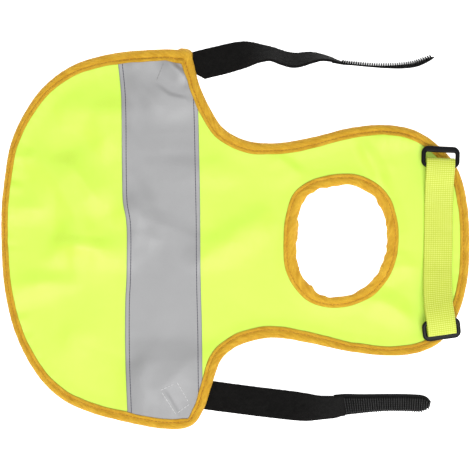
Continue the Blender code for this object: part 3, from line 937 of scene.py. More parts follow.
def placed_group(tree, group, vector, numbers):
    """A node group in a material, with values of its own for the inputs that follow the vector."""
    node = tree.nodes.new("ShaderNodeGroup")
    node.node_tree = group
    tree.links.new(vector, node.inputs["Vector"])
    for socket, value in zip(node.inputs[1:], numbers):
        socket.default_value = value
    return node


def new_material(name, **values):
    """A material with values of its own, its node tree and its shader."""
    material = bpy.data.materials.new(name)
    material.use_nodes = True
    shader = material.node_tree.nodes["Principled BSDF"]
    for label, value in values.items():
        shader.inputs[label.replace("_", " ")].default_value = value
    return material, material.node_tree, shader


def shaded(colour, share):
    """A darker or lighter tone of a colour."""
    return tuple(min(1.0, c * share) for c in colour)


def add_tones(tree, shader, low, high, share):
    """Colours a shader between two tones."""
    mix = tree.nodes.new("ShaderNodeMix")
    mix.data_type = "RGBA"
    mix.inputs["A"].default_value = (*low, 1.0)
    mix.inputs["B"].default_value = (*high, 1.0)
    tree.links.new(share, mix.inputs["Factor"])
    tree.links.new(mix.outputs["Result"], shader.inputs["Base Color"])


def add_relief(tree, shader, height, strength, distance):
    """Gives a shader's surface a fine relief."""
    relief = tree.nodes.new("ShaderNodeBump")
    relief.inputs["Strength"].default_value = strength
    relief.inputs["Distance"].default_value = distance
    tree.links.new(height, relief.inputs["Height"])
    tree.links.new(relief.outputs["Normal"], shader.inputs["Normal"])


def cloth_material(name, low, high, roughness, texture, pitches, bump, mottle, sheen=0.0, metallic=0.0,
                   specular=0.5, hollow_shade=0.25, on_cloth=True, crumple=0.0, contrast=2.2, wrinkles=0.0):
    """A woven finish: two tones mottled together, with painted shade between the yarns and, where wrinkles
    are asked for, painted shade that follows them, and with the yarns in relief.

    pitches are those of the yarns both ways, in metres. mottle is the scale of its broad patches, the scale
    of its fine ones, and the share of the fine ones.
    """
    material, tree, shader = new_material(
        name, Roughness=roughness, Metallic=metallic, Specular_IOR_Level=specular, Sheen_Weight=sheen,
        Sheen_Roughness=SHEEN_ROUGHNESS)
    where = tree.nodes.new("ShaderNodeTexCoord").outputs
    build = {"Plain weave": weave_group, "Ribs": rib_group}[texture]
    across = where["UV" if on_cloth else "Object"]
    yarns = placed_group(tree, shared_group(texture, build), across, pitches)
    tones = placed_group(tree, shared_group("Mottle", mottle_group), where["Object"], mottle)
    spread = worked(tree, "MULTIPLY_ADD", tones.outputs["Tone"], contrast, 0.5 - contrast / 2)
    height = yarns.outputs["Height"]
    if crumple:
        fine = noise_of(tree, where["Object"], CRUMPLE_SCALE, 3.0)
        height = worked(tree, "MULTIPLY_ADD", fine, crumple, height)
    if wrinkles:
        slanted = tree.nodes.new("ShaderNodeMapping")
        slanted.vector_type = "TEXTURE"
        slanted.inputs["Rotation"].default_value = (0.0, 0.0, math.radians(WRINKLE_SLANT))
        slanted.inputs["Scale"].default_value = WRINKLE_SIZE
        tree.links.new(where["UV"], slanted.inputs["Vector"])
        pulls_and_painted_shade = noise_of(tree, slanted.outputs["Vector"], 1.0)
        # Painted shade: the colour follows the wrinkles, darker in their troughs and lighter on their
        # crests, beside their relief.
        spread = worked(tree, "MULTIPLY_ADD", pulls_and_painted_shade, WRINKLE_PAINTED_SHADE,
                        worked(tree, "ADD", spread, -WRINKLE_PAINTED_SHADE / 2))
        height = worked(tree, "MULTIPLY_ADD", pulls_and_painted_shade, wrinkles, height)
    # Painted shade: the hollows between the yarns are darkened by hollow_shade.
    shade = worked(tree, "MULTIPLY_ADD", yarns.outputs["Hollow"], -hollow_shade, spread)
    add_tones(tree, shader, low, high, shade)
    add_relief(tree, shader, height, bump, YARN_RELIEF)
    return material


def thread_material(name, colour):
    """Sewing thread with its twist."""
    material, tree, shader = new_material(name, Roughness=0.6)
    where = tree.nodes.new("ShaderNodeTexCoord").outputs
    twist = noise_of(tree, where["Object"], TWIST_SCALE)
    add_tones(tree, shader, shaded(colour, 0.7), shaded(colour, 1.3), twist)
    return material


def plastic_material(settings):
    """Black moulded plastic with a fine moulded grain and slight wear."""
    material, tree, shader = new_material("Black plastic", Specular_IOR_Level=0.14)
    where = tree.nodes.new("ShaderNodeTexCoord").outputs
    mottle = shared_group("Mottle", mottle_group)
    tone = placed_group(tree, mottle, where["Object"], (120.0, 2500.0, 0.5)).outputs["Tone"]
    add_tones(tree, shader, shaded(settings.ring_colour, 0.8), shaded(settings.ring_colour, 1.3), tone)
    dulled = worked(tree, "MULTIPLY_ADD", tone, RING_WEAR, settings.ring_roughness - RING_WEAR / 2)
    tree.links.new(dulled, shader.inputs["Roughness"])
    add_relief(tree, shader, tone, 0.1, RING_RELIEF)
    return material


# What a user may change

def colour_property(name, description, default):
    """A colour that a user may change."""
    return FloatVectorProperty(
        name=name, description=description, subtype="COLOR", size=3, default=default, min=0.0, max=1.0)


class ClothSettings(bpy.types.PropertyGroup):
    """Colours of the panel, the reflective tape and the bindings."""
    lime_shade: colour_property("Lime, shaded", "The panel cloth's darker tone", (0.58, 0.88, 0.05))
    lime_light: colour_property("Lime, light", "The panel cloth's lighter tone", (0.66, 0.90, 0.075))
    tape_grey: colour_property("Tape grey", "The reflective tape in plain light", (0.345, 0.345, 0.35))
    orange_shade: colour_property("Orange, shaded", "The bindings' darker tone", (0.63, 0.305, 0.010))
    orange_light: colour_property("Orange, light", "The bindings' lighter tone", (0.95, 0.58, 0.048))
    yarn_pitch: FloatProperty(
        name="Yarn pitch", description="Distance between neighbouring yarns of the panel", unit="LENGTH",
        default=0.00045, min=0.0001, max=0.002)
    slack: FloatProperty(
        name="Slack", description="How high the soft waves of the laid-out cloth stand", default=1.0,
        min=0.0, max=2.0)


class TapeSettings(bpy.types.PropertyGroup):
    """The straps, the webbing and the rings."""
    webbing_colour: colour_property("Webbing", "The webbing's yarns", (0.93, 0.98, 0.28))
    loop_colour: colour_property("Loop tape", "The looped pile", (0.0050, 0.0047, 0.0044))
    hook_colour: colour_property("Hook tape", "The hooks and their woven tape", (0.008, 0.008, 0.0077))
    ring_colour: colour_property("Rings", "The moulded rings", (0.0035, 0.0035, 0.0045))
    ring_roughness: FloatProperty(
        name="Ring roughness", description="How dull the rings' plastic is", subtype="FACTOR",
        default=0.42, min=0.0, max=1.0)


class StageSettings(bpy.types.PropertyGroup):
    """Light on the stage."""
    key_power: FloatProperty(
        name="Key light", description="Power of the large soft light", unit="POWER", default=29.0,
        min=0.0)
    fill_strength: FloatProperty(
        name="Fill", description="Strength of the even light from all round", default=0.575, min=0.0)
    floor_glow: FloatProperty(
        name="Floor glow", description="How much the white floor shines by itself", default=1.0, min=0.0)


# Pieces

def crease_rise(x, y):
    """How far the creases and the slack lift the cloth at a place."""
    point = Vector((x, y))
    rise = 0.0
    for left, right, height, spans, total in CREST_LINES:
        best = None
        travelled = 0.0
        for a, b, length in spans:
            share = max(0.0, min(1.0, (point - a).dot(b - a) / (length * length)))
            away = (point - a.lerp(b, share)).length
            if best is None or away < best[0]:
                best = (away, travelled + share * length, (b - a).cross(point - a) > 0)
            travelled += length
        away, reach, on_left = best
        width = left if on_left else right
        rounding = min(CREASE_ROUNDING, width * CREASE_TURN)
        away = math.hypot(away, rounding) - rounding
        if away < width:
            taper = smooth_step(min(reach, total - reach) / (total * CREASE_TAPER) + CREASE_END)
            rise += height * taper * (1 - away / width) ** CREASE_FALL
    return rise


def slack_rise(x, y, amount):
    """How far the soft waves lift the cloth at a place."""
    rise = 0.0
    for k, (size, height) in enumerate(SLACK):
        rise += height * soft_noise(x, y, size, seed=3.7 + 5.1 * k)
    return rise * amount


def crest_lines():
    """The creases with their crests cut into straight spans."""
    lines = []
    for left, right, height, points in CREASES:
        crest = smooth_line(points, closed=False, per_span=CREST_STEPS)
        spans = [(a, b, (b - a).length) for a, b in zip(crest, crest[1:])]
        lines.append((left, right, height, spans, sum(s[2] for s in spans)))
    return lines


CREST_LINES = crest_lines()
OUTER = Edge(OUTLINE, OUTER_WAVER, OUTER_JOIN, ())
HOLE = Edge(NECK, NECK_WAVER, NECK_JOIN, NECK_SNAGS)

# The tape's two long edges, as places across and along the vest
TAPE_EDGES = [sorted((p.y, p.x) for p in smooth_line(edge, closed=False))
              for edge in (TAPE_BACK_EDGE, TAPE_FRONT_EDGE)]

# Surfaces that later pieces lie on, and finishes that they share
made = {}


def edge_tree():
    """The panel's own edges, to be found by nearness, in even steps along them."""
    spots = []
    for ring in (OUTER.panel, HOLE.panel):
        for a, b in zip(ring, ring[1:] + ring[:1]):
            spots += [a.lerp(b, k / SPOTS_PER_STATION) for k in range(SPOTS_PER_STATION)]
    tree = KDTree(len(spots))
    for i, spot in enumerate(spots):
        tree.insert((*spot, 0.0), i)
    tree.balance()
    return tree


def above_floor(z):
    """A height that turns softly before it would go under the floor."""
    lowest = PANEL_THICKNESS + FLOOR_CLEARANCE
    over = (z - lowest) / FLOOR_SOFTNESS
    return lowest + FLOOR_SOFTNESS * (math.log1p(math.exp(over)) if over < FLOOR_TURN_LIMIT else over)


def build_panel(settings):
    """The lime panel: one cut of cloth over its folds, down to its bound edges."""
    solid = solid_surface("body_panel")
    low = Vector((min(p.x for p in OUTER.panel), min(p.y for p in OUTER.panel)))
    high = Vector((max(p.x for p in OUTER.panel), max(p.y for p in OUTER.panel)))
    size = high - low
    shape = bmesh.new()
    bmesh.ops.create_grid(shape, x_segments=round(size.x / PANEL_SPACING),
                          y_segments=round(size.y / PANEL_SPACING), size=0.5)
    bmesh.ops.scale(shape, vec=(*size, 1.0), verts=shape.verts)
    bmesh.ops.translate(shape, vec=(*((low + high) / 2), 0.0), verts=shape.verts)
    beside = []
    for vert in shape.verts:
        height = solid.hit(vert.co.x, vert.co.y)
        if height is None:
            beside.append(vert)
        else:
            vert.co.z = height
    bmesh.ops.delete(shape, geom=beside, context="VERTS")
    tree = edge_tree()
    for vert in shape.verts:
        if vert.is_boundary:
            spot = tree.find((vert.co.x, vert.co.y, 0.0))[0]
            vert.co.x, vert.co.y = spot.x, spot.y
    for _ in range(PANEL_SMOOTHING_PASSES):
        bmesh.ops.smooth_vert(shape, verts=shape.verts, factor=0.5, use_axis_z=True)
    for vert in shape.verts:
        x, y, z = vert.co
        _, step, near = tree.find((x, y, 0.0))
        held = HELD_SHARE + (1 - HELD_SHARE) * smooth_step((near - HELD_REACH) / HELD_EASE)
        gather = soft_noise(step * BINDING_SPACING / SPOTS_PER_STATION, 0.0, GATHER_SPACING, 8.0)
        z += held * (crease_rise(x, y) + slack_rise(x, y, settings.slack))
        z += GATHER_HEIGHT * gather * math.exp(-max(0.0, near - GATHER_START) / GATHER_REACH)
        vert.co.z = above_floor(z)
    bmesh.ops.recalc_face_normals(shape, faces=shape.faces)
    face_up(shape)
    made["panel"] = Surface(BVHTree.FromBMesh(shape))
    material = cloth_material(
        "Lime cloth", settings.lime_shade, settings.lime_light, 0.42, "Plain weave",
        (settings.yarn_pitch, settings.yarn_pitch), 0.25, (26.0, 900.0, 0.15), specular=0.7,
        hollow_shade=0.1, on_cloth=False, contrast=1.0)
    panel = finish("panel_cloth", shape, material)
    thicken(panel, PANEL_THICKNESS)
    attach(panel, VEST)
    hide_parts("body_panel")


def x_on(rows, y):
    """X of a long edge of the tape at a place across the vest."""
    k = max(1, min(len(rows) - 1, bisect.bisect_left(rows, (y, 0.0))))
    (y0, x0), (y1, x1) = rows[k - 1], rows[k]
    return x0 + (x1 - x0) * (y - y0) / (y1 - y0)


def tape_x(share, y):
    """X of the line that runs along the tape at a share of its width."""
    back, front = TAPE_EDGES
    return x_on(back, y) * (1 - share) + x_on(front, y) * share


def tape_end(share, ring, near, far):
    """Where a lengthwise line of the tape runs under the edge binding."""
    for _ in range(TAPE_END_HALVINGS):
        y = (near + far) / 2
        if inside(Vector((tape_x(share, y), y)), ring):
            near = y
        else:
            far = y
    return near


def build_reflective_tape(settings):
    """The reflective tape: laid on the panel, its ends tucked in and both long edges sewn."""
    panel = made["panel"]
    ring = [OUTER.at_depth(i, w - TAPE_TUCK) for i, w in enumerate(OUTER.widths)]
    columns = round(TAPE_WIDTH / TAPE_SPACING)
    count = round(TAPE_RUN / TAPE_SPACING)
    shares = [i / columns for i in range(columns + 1)]
    ends = [[tape_end(share, ring, *search) for search in TAPE_ENDS] for share in shares]

    def spot(share, up):
        """A place on the tape by its shares across and along it."""
        k = min(columns - 1, int(share * columns))
        part = share * columns - k
        low, high = (a * (1 - part) + b * part for a, b in zip(ends[k], ends[k + 1]))
        y = low + (high - low) * up
        return Vector((tape_x(share, y), y))

    def place(i, j):
        point = spot(shares[i], j / count)
        return Vector((*point, panel.height(*point) + TAPE_LIFT + TAPE_THICKNESS))

    shape = ribbon([TAPE_WIDTH * s for s in shares], [TAPE_RUN * j / count for j in range(count + 1)],
                   place, False)
    for vert in shape.verts:
        vert.co.z = max(vert.co.z, panel.height(*vert.co.xy) + TAPE_THICKNESS + LEAST_TAPE_LIFT)
    face_up(shape)
    surface = Surface(BVHTree.FromBMesh(shape))
    made["tape"] = surface
    material = cloth_material(
        "Reflective tape", shaded(settings.tape_grey, 0.9), settings.tape_grey, 0.5, "Plain weave",
        (0.0003, 0.0003), 0.12, (30.0, 2200.0, 0.3), metallic=0.25, hollow_shade=0.1, on_cloth=False)
    tape = finish("reflective_tape_cloth", shape, material)
    thicken(tape, TAPE_THICKNESS)
    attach(tape, VEST)
    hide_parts("reflective_tape")
    inset_share = TAPE_STITCH_INSET / TAPE_WIDTH
    places = []
    for share in (inset_share, 1 - inset_share):
        line = [spot(share, k / SEAM_SAMPLES) for k in range(SEAM_SAMPLES + 1)]
        places += stitch_places(line, surface, pitch=TAPE_STITCH_PITCH)
    sewn = scattered("tape_stitches", stitch_shape(), places, thread_material("Dark thread", TAPE_THREAD))
    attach(sewn, VEST)
    for name, grey, corners in ROOT_BOXES:
        places = []
        for a, b in zip(corners, corners[1:]):
            places += stitch_places([Vector(a), Vector(b)], surface)
        box = scattered("root_stitches_" + name, stitch_shape(), places,
                        thread_material("Grey thread " + name, (grey, grey, grey)))
        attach(box, VEST)


def binding_section(width, pucker, edge_dip):
    """One section of a folded strip, round its outside and back through its inside.

    Columns: depth from the fold, height over the panel's top for the upper leg or over the level below it
    for the lower leg, and whether the point belongs to the upper leg.
    """
    seam = width - BINDING_STITCH_INSET
    puff = 1.25 + 0.5 * pucker
    edge = 0.85 + 0.3 * edge_dip
    crown = max(1.3, seam * 0.45)
    return (
        (width, 0.2, 1),
        (width + 0.15, 0.45, 1),
        (width - 0.2, edge, 1),
        (width - BINDING_STITCH_INSET * 0.45, edge + 0.12 + 0.25 * pucker, 1),
        (seam + 0.5, 0.85, 1),
        (seam, 0.2, 1),
        (seam - 0.6, 0.95, 1),
        ((seam - 0.55 + crown) / 2, puff + 0.1, 1),
        (crown, puff + 0.05, 1),
        (crown * 0.55, puff - 0.35, 1),
        (crown * 0.2, puff - 1.05, 1),
        (0.0, 1.7, 0),
        (0.12, 1.05, 0),
        (0.5, 0.45, 0),
        (1.3, 0.05, 0),
        (width * 0.5, 0.0, 0),
        (width, 0.0, 0),
        (width, BINDING_THICKNESS, 0),
        (width * 0.5, BINDING_THICKNESS, 0),
        (1.5, BINDING_THICKNESS + 0.15, 0),
        (0.75, 1.3, 0),
        (0.9, 1.9, 0),
        (1.6, 0.25, 1),
        (seam * 0.6 + 0.4, 0.3, 1),
        (width - 0.6, 0.2, 1),
        (width, 0.2, 1),
    )


def build_binding(name, edge, node, material, seed):
    """A folded strip round an edge, gathered a little by its line of stitches."""
    panel = made["panel"]
    tape = made["tape"]
    count = len(edge.fold)
    window = range(-LEVEL_SPAN, LEVEL_SPAN + 1)
    levels = [panel.height(*spot) - SOLID_PANEL_WALL - PANEL_EDGE_DEPTH for spot in edge.panel]
    levels = [max(0.0, sum(levels[(i + k) % count] for k in window) / len(window)) for i in range(count)]
    sections = []
    seam = []
    for i, width in enumerate(edge.widths):
        here = edge.fold[i]
        broad, fine = (soft_noise(*here, size, seed + k * 9) for k, size in enumerate(PUCKER_SIZES))
        dip = soft_noise(*here, EDGE_DIP_SIZE, seed + 4)
        width += WIDTH_WAVER * soft_noise(*here, WIDTH_WAVER_SIZE, seed + 2)
        section = []
        for depth, height, upper in binding_section(width, broad + FINE_PUCKER * fine, dip):
            point = edge.at_depth(i, depth)
            if upper:
                base = panel.height(*(point if depth > PANEL_EDGE_DEPTH else edge.panel[i]))
                over_tape = tape.hit(*point)
                if over_tape is not None and height > TAPE_PRESS:
                    base = max(base, over_tape - TAPE_PRESS)
            else:
                base = levels[i]
            if upper and height > BINDING_THICKNESS:
                height += edge.lifts[i]
            section.append(Vector((*point, max(FLOOR_CLEARANCE, base + height))))
        sections.append(section)
        seam.append(edge.at_depth(i, width - BINDING_STITCH_INSET))
    marks = [edge.length * i / count for i in range(count + 1)]
    shape = ribbon(marks, girth_marks(sections[0]), lambda i, j: sections[i % count][j], False)
    surface = Surface(BVHTree.FromBMesh(shape))
    strip = finish(name, shape, material)
    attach(strip, VEST)
    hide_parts(node)
    girth = sum(girth_marks(section)[-1] for section in sections) / count / 2 * MM
    places = stitch_places(seam + seam[:1], surface, lift=0.0)
    sewn = scattered(name + "_stitches", stitch_shape(), places, made["binding_thread"])
    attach(sewn, VEST)


def strap_frame(path, travelled, side):
    """Where a strap lies at a distance along it; side is +1 where its raised edge lies at -Y."""
    row = path.at(travelled)
    along = path.direction(travelled)
    raised = Vector((along.y, -along.x)) * side
    tilt = math.radians(row.z)
    across = Vector((*(raised * math.cos(tilt)), math.sin(tilt)))
    face = Vector((*(-raised * math.sin(tilt)), math.cos(tilt)))
    return row.xy, across, face


def strap_place(path, travelled, side):
    """Middle of a strap's loop layer, its directions and its half width."""
    hook_start = LOOP_LENGTH - TAPE_JOINT_OVERLAP
    hook_under_loop = -SOLID_LOOP_WALL / 2 - SOLID_GAP - SOLID_HOOK_WALL / 2
    point, across, face = strap_frame(path, travelled, side)
    near_joint = smooth_step(1 - max(0.0, hook_start - travelled) / TAPE_JOINT_EASE)
    after_joint = smooth_step((travelled - LOOP_LENGTH) / TAPE_JOINT_EASE)
    hook_middle = hook_under_loop * (1 - after_joint)
    low = min(-SOLID_LOOP_WALL / 2, (hook_middle - SOLID_HOOK_WALL / 2) * near_joint)
    high = SOLID_LOOP_WALL / 2
    resting = abs(across.z) * STRAP_WIDTH / 2 - min(low * face.z, high * face.z)
    half = STRAP_WIDTH / 2
    past_rounding = 1 - (path.length - travelled) / TIP_ROUNDING
    if past_rounding > 0:
        half *= max(TIP_BLUNTNESS, math.sqrt(max(0.0, 1 - past_rounding ** 2)))
    return Vector((*point, resting)), across, face, half


def trimmed(a, travelled, side):
    """A place across a strap, kept within the slanting cut at the upper strap's root."""
    start, half, widening = ROOT_CUT
    return min(a, max(0.0, half + (travelled - start) * widening)) if side > 0 else a


def flat_section(half, wall, points):
    """A tape's rounded section: places across and through it, all round, back to the first."""
    edge = wall / 2
    top = [(half * (2 * k / points - 1) * (1 - 0.4 * edge / half), edge) for k in range(points + 1)]
    right = [(half - 0.12, edge * 0.6), (half, 0.0), (half - 0.12, -edge * 0.6)]
    bottom = [(a, -edge) for a, _ in reversed(top)]
    left = [(-a, -b) for a, b in right]
    return [*top, *right, *bottom, *left, top[0]]


def build_strap(suffix, rows, side, materials, seed):
    """One closure strap: a looped pile tape, and the hook tape that is sewn under its far end."""
    path = Path(smooth_line(rows, closed=False))
    hook_start = LOOP_LENGTH - TAPE_JOINT_OVERLAP
    loop_material, hook_material, filament = materials
    loop_count = round(LOOP_LENGTH / STRAP_STEP)
    loop_marks = [LOOP_LENGTH * k / loop_count for k in range(loop_count + 1)]
    loop_points = flat_section(STRAP_WIDTH / 2, SOLID_LOOP_WALL, LOOP_POINTS)

    def loop_spot(i, j):
        """Point j of section i of the loop tape, with its pile on the upper face."""
        travelled = loop_marks[i]
        middle, across, face, half = strap_place(path, travelled, side)
        a, b = loop_points[j]
        a = trimmed(a, travelled, side)
        thinned = smooth_step((travelled - hook_start) / TAPE_JOINT_OVERLAP + 0.3)
        b *= 1 - (1 - LOOP_END_WALL / SOLID_LOOP_WALL) * thinned
        lift = b
        if b > 0:
            lift -= PILE_SUNK
        if b > PILE_LEAST:
            for k, (high, size) in enumerate(PILE):
                lift += high * soft_noise(travelled, a, size, seed + 3 * k)
        at_edge = abs(a) > half - FUZZ_WIDTH
        fuzz = FUZZ * soft_noise(travelled, a * 0.2, FUZZ_SIZE, seed + 7) if at_edge else 0.0
        out = a * (half - LOOP_MARGIN) / (STRAP_WIDTH / 2) + math.copysign(fuzz, a)
        return middle + across * out + face * lift

    loop = finish("loop_tape_" + suffix, ribbon(loop_marks, girth_marks(loop_points), loop_spot, True),
                  loop_material, sharp=70.0)
    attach(loop, VEST)
    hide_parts("strap_loop_" + suffix)

    hook_length = path.length - hook_start
    hook_count = round(hook_length / STRAP_STEP)
    hook_marks = [hook_start + hook_length * k / hook_count for k in range(hook_count + 1)]
    hook_points = flat_section(STRAP_WIDTH / 2, HOOK_BASE_WALL, HOOK_POINTS)

    def hook_face(travelled):
        """How far the hook tape's woven face lies off the middle of the strap."""
        after = smooth_step((travelled - LOOP_LENGTH) / TAPE_JOINT_EASE)
        sewn = -SOLID_LOOP_WALL / 2 + (SOLID_LOOP_WALL - LOOP_END_WALL) / 2 - HOOK_SEWN_GAP
        return sewn * (1 - after) + (HOOK_BASE_WALL - SOLID_HOOK_WALL / 2) * after

    def hook_spot(i, j):
        """Point j of section i of the hook tape's woven base."""
        middle, across, face, half = strap_place(path, hook_marks[i], side)
        a, b = hook_points[j]
        rib = RIB_ON_HOOK_TAPE * math.cos(math.tau * a / HOOK_ROW_PITCH) if b > 0 else 0.0
        return (middle + across * (a * half / (STRAP_WIDTH / 2))
                + face * (hook_face(hook_marks[i]) - HOOK_BASE_WALL / 2 + b + rib))

    hook = finish("hook_tape_" + suffix, ribbon(hook_marks, girth_marks(hook_points), hook_spot, True),
                  hook_material, sharp=70.0)
    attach(hook, VEST)
    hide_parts("strap_hook_" + suffix)

    chance = random.Random(seed)
    places = []
    travelled = LOOP_LENGTH + HOOK_END_GAP
    row_count = int((STRAP_WIDTH / 2 - HOOK_SIDE_GAP) / HOOK_ROW_PITCH)
    while travelled < path.length - HOOK_END_GAP:
        _, across, face, half = strap_place(path, travelled, side)
        along = across.cross(face).normalized()
        for row in range(-row_count, row_count + 1):
            a = row * HOOK_ROW_PITCH
            if abs(a) > half - SELVEDGE:
                continue
            middle, across, face, _ = strap_place(path, travelled - a * HOOK_SKEW, side)
            out = a + chance.uniform(-HOOK_SCATTER, HOOK_SCATTER)
            base = middle + across * out + face * hook_face(travelled)
            way = 1 if row % 2 else -1
            turn = Matrix((across * way, along * -way, face)).transposed()
            tall = chance.uniform(*HOOK_TALLNESS)
            places.append(Matrix.Translation(base) @ turn.to_4x4() @ Matrix.Scale(tall, 4))
        travelled += HOOK_PITCH
    hooks = scattered("hooks_" + suffix, hook_shape(), places, filament)
    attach(hooks, VEST)


def hook_shape():
    """One hook: a stiff monofilament that stands up and bends over."""
    shape = bmesh.new()
    bmesh.ops.create_circle(shape, cap_ends=False, segments=4, radius=HOOK_RADIUS)
    edges = shape.edges[:]
    for along, up, bend in HOOK_STAGES:
        grown = bmesh.ops.extrude_edge_only(shape, edges=edges)["geom"]
        verts = [v for v in grown if isinstance(v, bmesh.types.BMVert)]
        edges = [e for e in grown if isinstance(e, bmesh.types.BMEdge)]
        edges = [e for e in edges if all(v in verts for v in e.verts)]
        bmesh.ops.translate(shape, vec=(along, 0.0, up), verts=verts)
        middle = sum((v.co for v in verts), Vector()) / len(verts)
        turn = Matrix.Rotation(math.radians(bend), 3, "Y")
        bmesh.ops.rotate(shape, cent=middle, matrix=turn, verts=verts)
    bmesh.ops.holes_fill(shape, edges=[e for e in shape.edges if e.is_boundary], sides=0)
    bmesh.ops.recalc_face_normals(shape, faces=shape.faces)
    return shape


def build_webbing(material):
    """The chest webbing: one ribbon over the neck end, each end folded round a ring's inner bar."""
    plan = Path(smooth_line(WEBBING_PLAN, closed=False))
    profile = Path(smooth_line(WEBBING_SIDE, closed=False))
    marks = profile.even(WEBBING_STEP)
    points = flat_section(WEBBING_WIDTH / 2, WEBBING_THICKNESS, WEBBING_POINTS)
    sag_height, sag_size = WEBBING_SAG
    edge_height, edge_size = WEBBING_EDGE

    def spot(i, j):
        """Point j of section i of the webbing."""
        travelled = marks[i]
        here = profile.at(travelled)
        row = plan.at(here.x)
        turn = math.radians(row.z)
        onward = Vector((-math.sin(turn), math.cos(turn)))
        step = profile.direction(travelled)
        across = Vector((math.cos(turn), math.sin(turn), 0))
        face = Vector((*(onward * -step.y), step.x))
        a, b = points[j]
        rib = RIB_DEPTH * math.cos(math.tau * travelled / RIB_PITCH)
        sag = sag_height * soft_noise(travelled, a, sag_size, 2.0)
        at_edge = abs(a) > WEBBING_WIDTH / 2 - WEBBING_EDGE_WIDTH
        out = edge_height * soft_noise(travelled, 0.0, edge_size, 6.0) if at_edge else 0.0
        return (Vector((*row.xy, here.y)) + across * (a + math.copysign(out, a))
                + face * (b + math.copysign(rib, b) + sag))

    shape = ribbon(marks, girth_marks(points), spot, True)
    webbing = finish("webbing_cloth", shape, material, sharp=80.0)
    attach(webbing, VEST)
    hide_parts("chest_webbing")


def rounded_rectangle(low, high, radius):
    """Corner points of a rounded rectangle, anticlockwise."""
    centres = ((high.x, high.y), (low.x, high.y), (low.x, low.y), (high.x, low.y))
    points = []
    for k, (x, y) in enumerate(centres):
        middle = Vector((x - math.copysign(radius, x - (low.x + high.x) / 2),
                         y - math.copysign(radius, y - (low.y + high.y) / 2)))
        for step in range(RING_CORNER_STEPS + 1):
            angle = math.radians(90) * (k + step / RING_CORNER_STEPS)
            points.append(middle + Vector((math.cos(angle), math.sin(angle))) * radius)
    return points


def build_ring(node, body, x, y, z, turn, slope, side, material):
    """A moulded rectangular ring round the webbing's fold."""
    shape = bmesh.new()
    outer_low = Vector((-RING_LENGTH / 2, -RING_INNER_BAR / 2))
    outer_high = outer_low + Vector((RING_LENGTH, RING_DEPTH))
    window_low = outer_low + Vector((RING_SIDE_BAR, RING_INNER_BAR))
    window_high = outer_high - Vector((RING_SIDE_BAR, RING_OUTER_BAR))
    edges = []
    for low, high, radius in ((outer_low, outer_high, RING_CORNER),
                              (window_low, window_high, RING_WINDOW_CORNER)):
        loop = [shape.verts.new((*p, -RING_THICKNESS / 2)) for p in rounded_rectangle(low, high, radius)]
        edges += [shape.edges.new((a, b)) for a, b in zip(loop, loop[1:] + loop[:1])]
    bmesh.ops.bridge_loops(shape, edges=edges)
    lifted = bmesh.ops.extrude_face_region(shape, geom=shape.faces[:])
    top = [v for v in lifted["geom"] if isinstance(v, bmesh.types.BMVert)]
    bmesh.ops.translate(shape, verts=top, vec=(0, 0, RING_THICKNESS))
    bmesh.ops.recalc_face_normals(shape, faces=shape.faces)
    rims = [e for e in shape.edges if len(e.link_faces) == 2 and e.calc_face_angle() > RING_RIM_ANGLE]
    bmesh.ops.bevel(shape, geom=rims, offset=RING_EDGE_ROUNDING, segments=RING_EDGE_STEPS, profile=0.5,
                    affect="EDGES", material=-1)
    facing = Matrix.Rotation(0.0 if side > 0 else math.pi, 4, "Z")
    lean = Matrix.Rotation(math.radians(-slope), 4, "X")
    placed = Matrix.Translation((x, y, z)) @ Matrix.Rotation(math.radians(turn), 4, "Z") @ facing @ lean
    bmesh.ops.transform(shape, matrix=placed, verts=shape.verts)
    ring = finish(node + "_moulded", shape, material, sharp=40.0)
    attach(ring, body)
    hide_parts(node)


# Operators

class VEST_OT_panel(bpy.types.Operator):
    """Cut the lime panel and lay it over its folds"""
    bl_idname = "vest.panel"
    bl_label = "Lime Panel"

    def execute(self, context):
        build_panel(context.scene.vest_cloth)
        return {"FINISHED"}


class VEST_OT_reflective_tape(bpy.types.Operator):
    """Sew the reflective tape across the lobe"""
    bl_idname = "vest.reflective_tape"
    bl_label = "Reflective Tape"

    def execute(self, context):
        build_reflective_tape(context.scene.vest_cloth)
        return {"FINISHED"}


class VEST_OT_bindings(bpy.types.Operator):
    """Fold the orange strips over the outer edge and the neck hole"""
    bl_idname = "vest.bindings"
    bl_label = "Bindings"

    def execute(self, context):
        settings = context.scene.vest_cloth
        material = cloth_material(
            "Orange binding", settings.orange_shade, settings.orange_light, 0.6, "Plain weave",
            (0.00035, 0.00035), 0.8, (180.0, 1400.0, 0.4), specular=0.3, hollow_shade=0.2, contrast=1.4,
            wrinkles=2.5)
        # The thread's dark brown is partly painted shade of the needle holes and the stitch groove.
        made["binding_thread"] = thread_material("Brown thread and painted stitch shade", BINDING_THREAD_AND_PAINTED_SHADE)
        build_binding("edge_binding_strip", OUTER, "edge_binding", material, 11.0)
        build_binding("neck_binding_strip", HOLE, "neck_binding", material, 47.0)
        return {"FINISHED"}


class VEST_OT_straps(bpy.types.Operator):
    """Lay out the two hook-and-loop closure straps"""
    bl_idname = "vest.straps"
    bl_label = "Closure Straps"

    def execute(self, context):
        settings = context.scene.vest_tapes
        loop = settings.loop_colour
        hook = settings.hook_colour
        materials = (
            cloth_material(
                "Loop pile", shaded(loop, 0.3), shaded(loop, 1.8), 0.95, "Plain weave",
                (0.0009, 0.0009), 1.0, (300.0, 1500.0, 0.6), sheen=0.03, specular=0.15, crumple=2.5),
            cloth_material(
                "Hook tape", shaded(hook, 0.7), shaded(hook, 1.3), 0.9, "Ribs",
                (HOOK_PITCH * MM, 0.0012), 0.6, (200.0, 1500.0, 0.4), specular=0.12),
            thread_material("Hook filament", shaded(hook, 0.6)),
        )
        build_strap("lower", STRAP_LOWER, -1, materials, 5)
        build_strap("upper", STRAP_UPPER, 1, materials, 8)
        return {"FINISHED"}


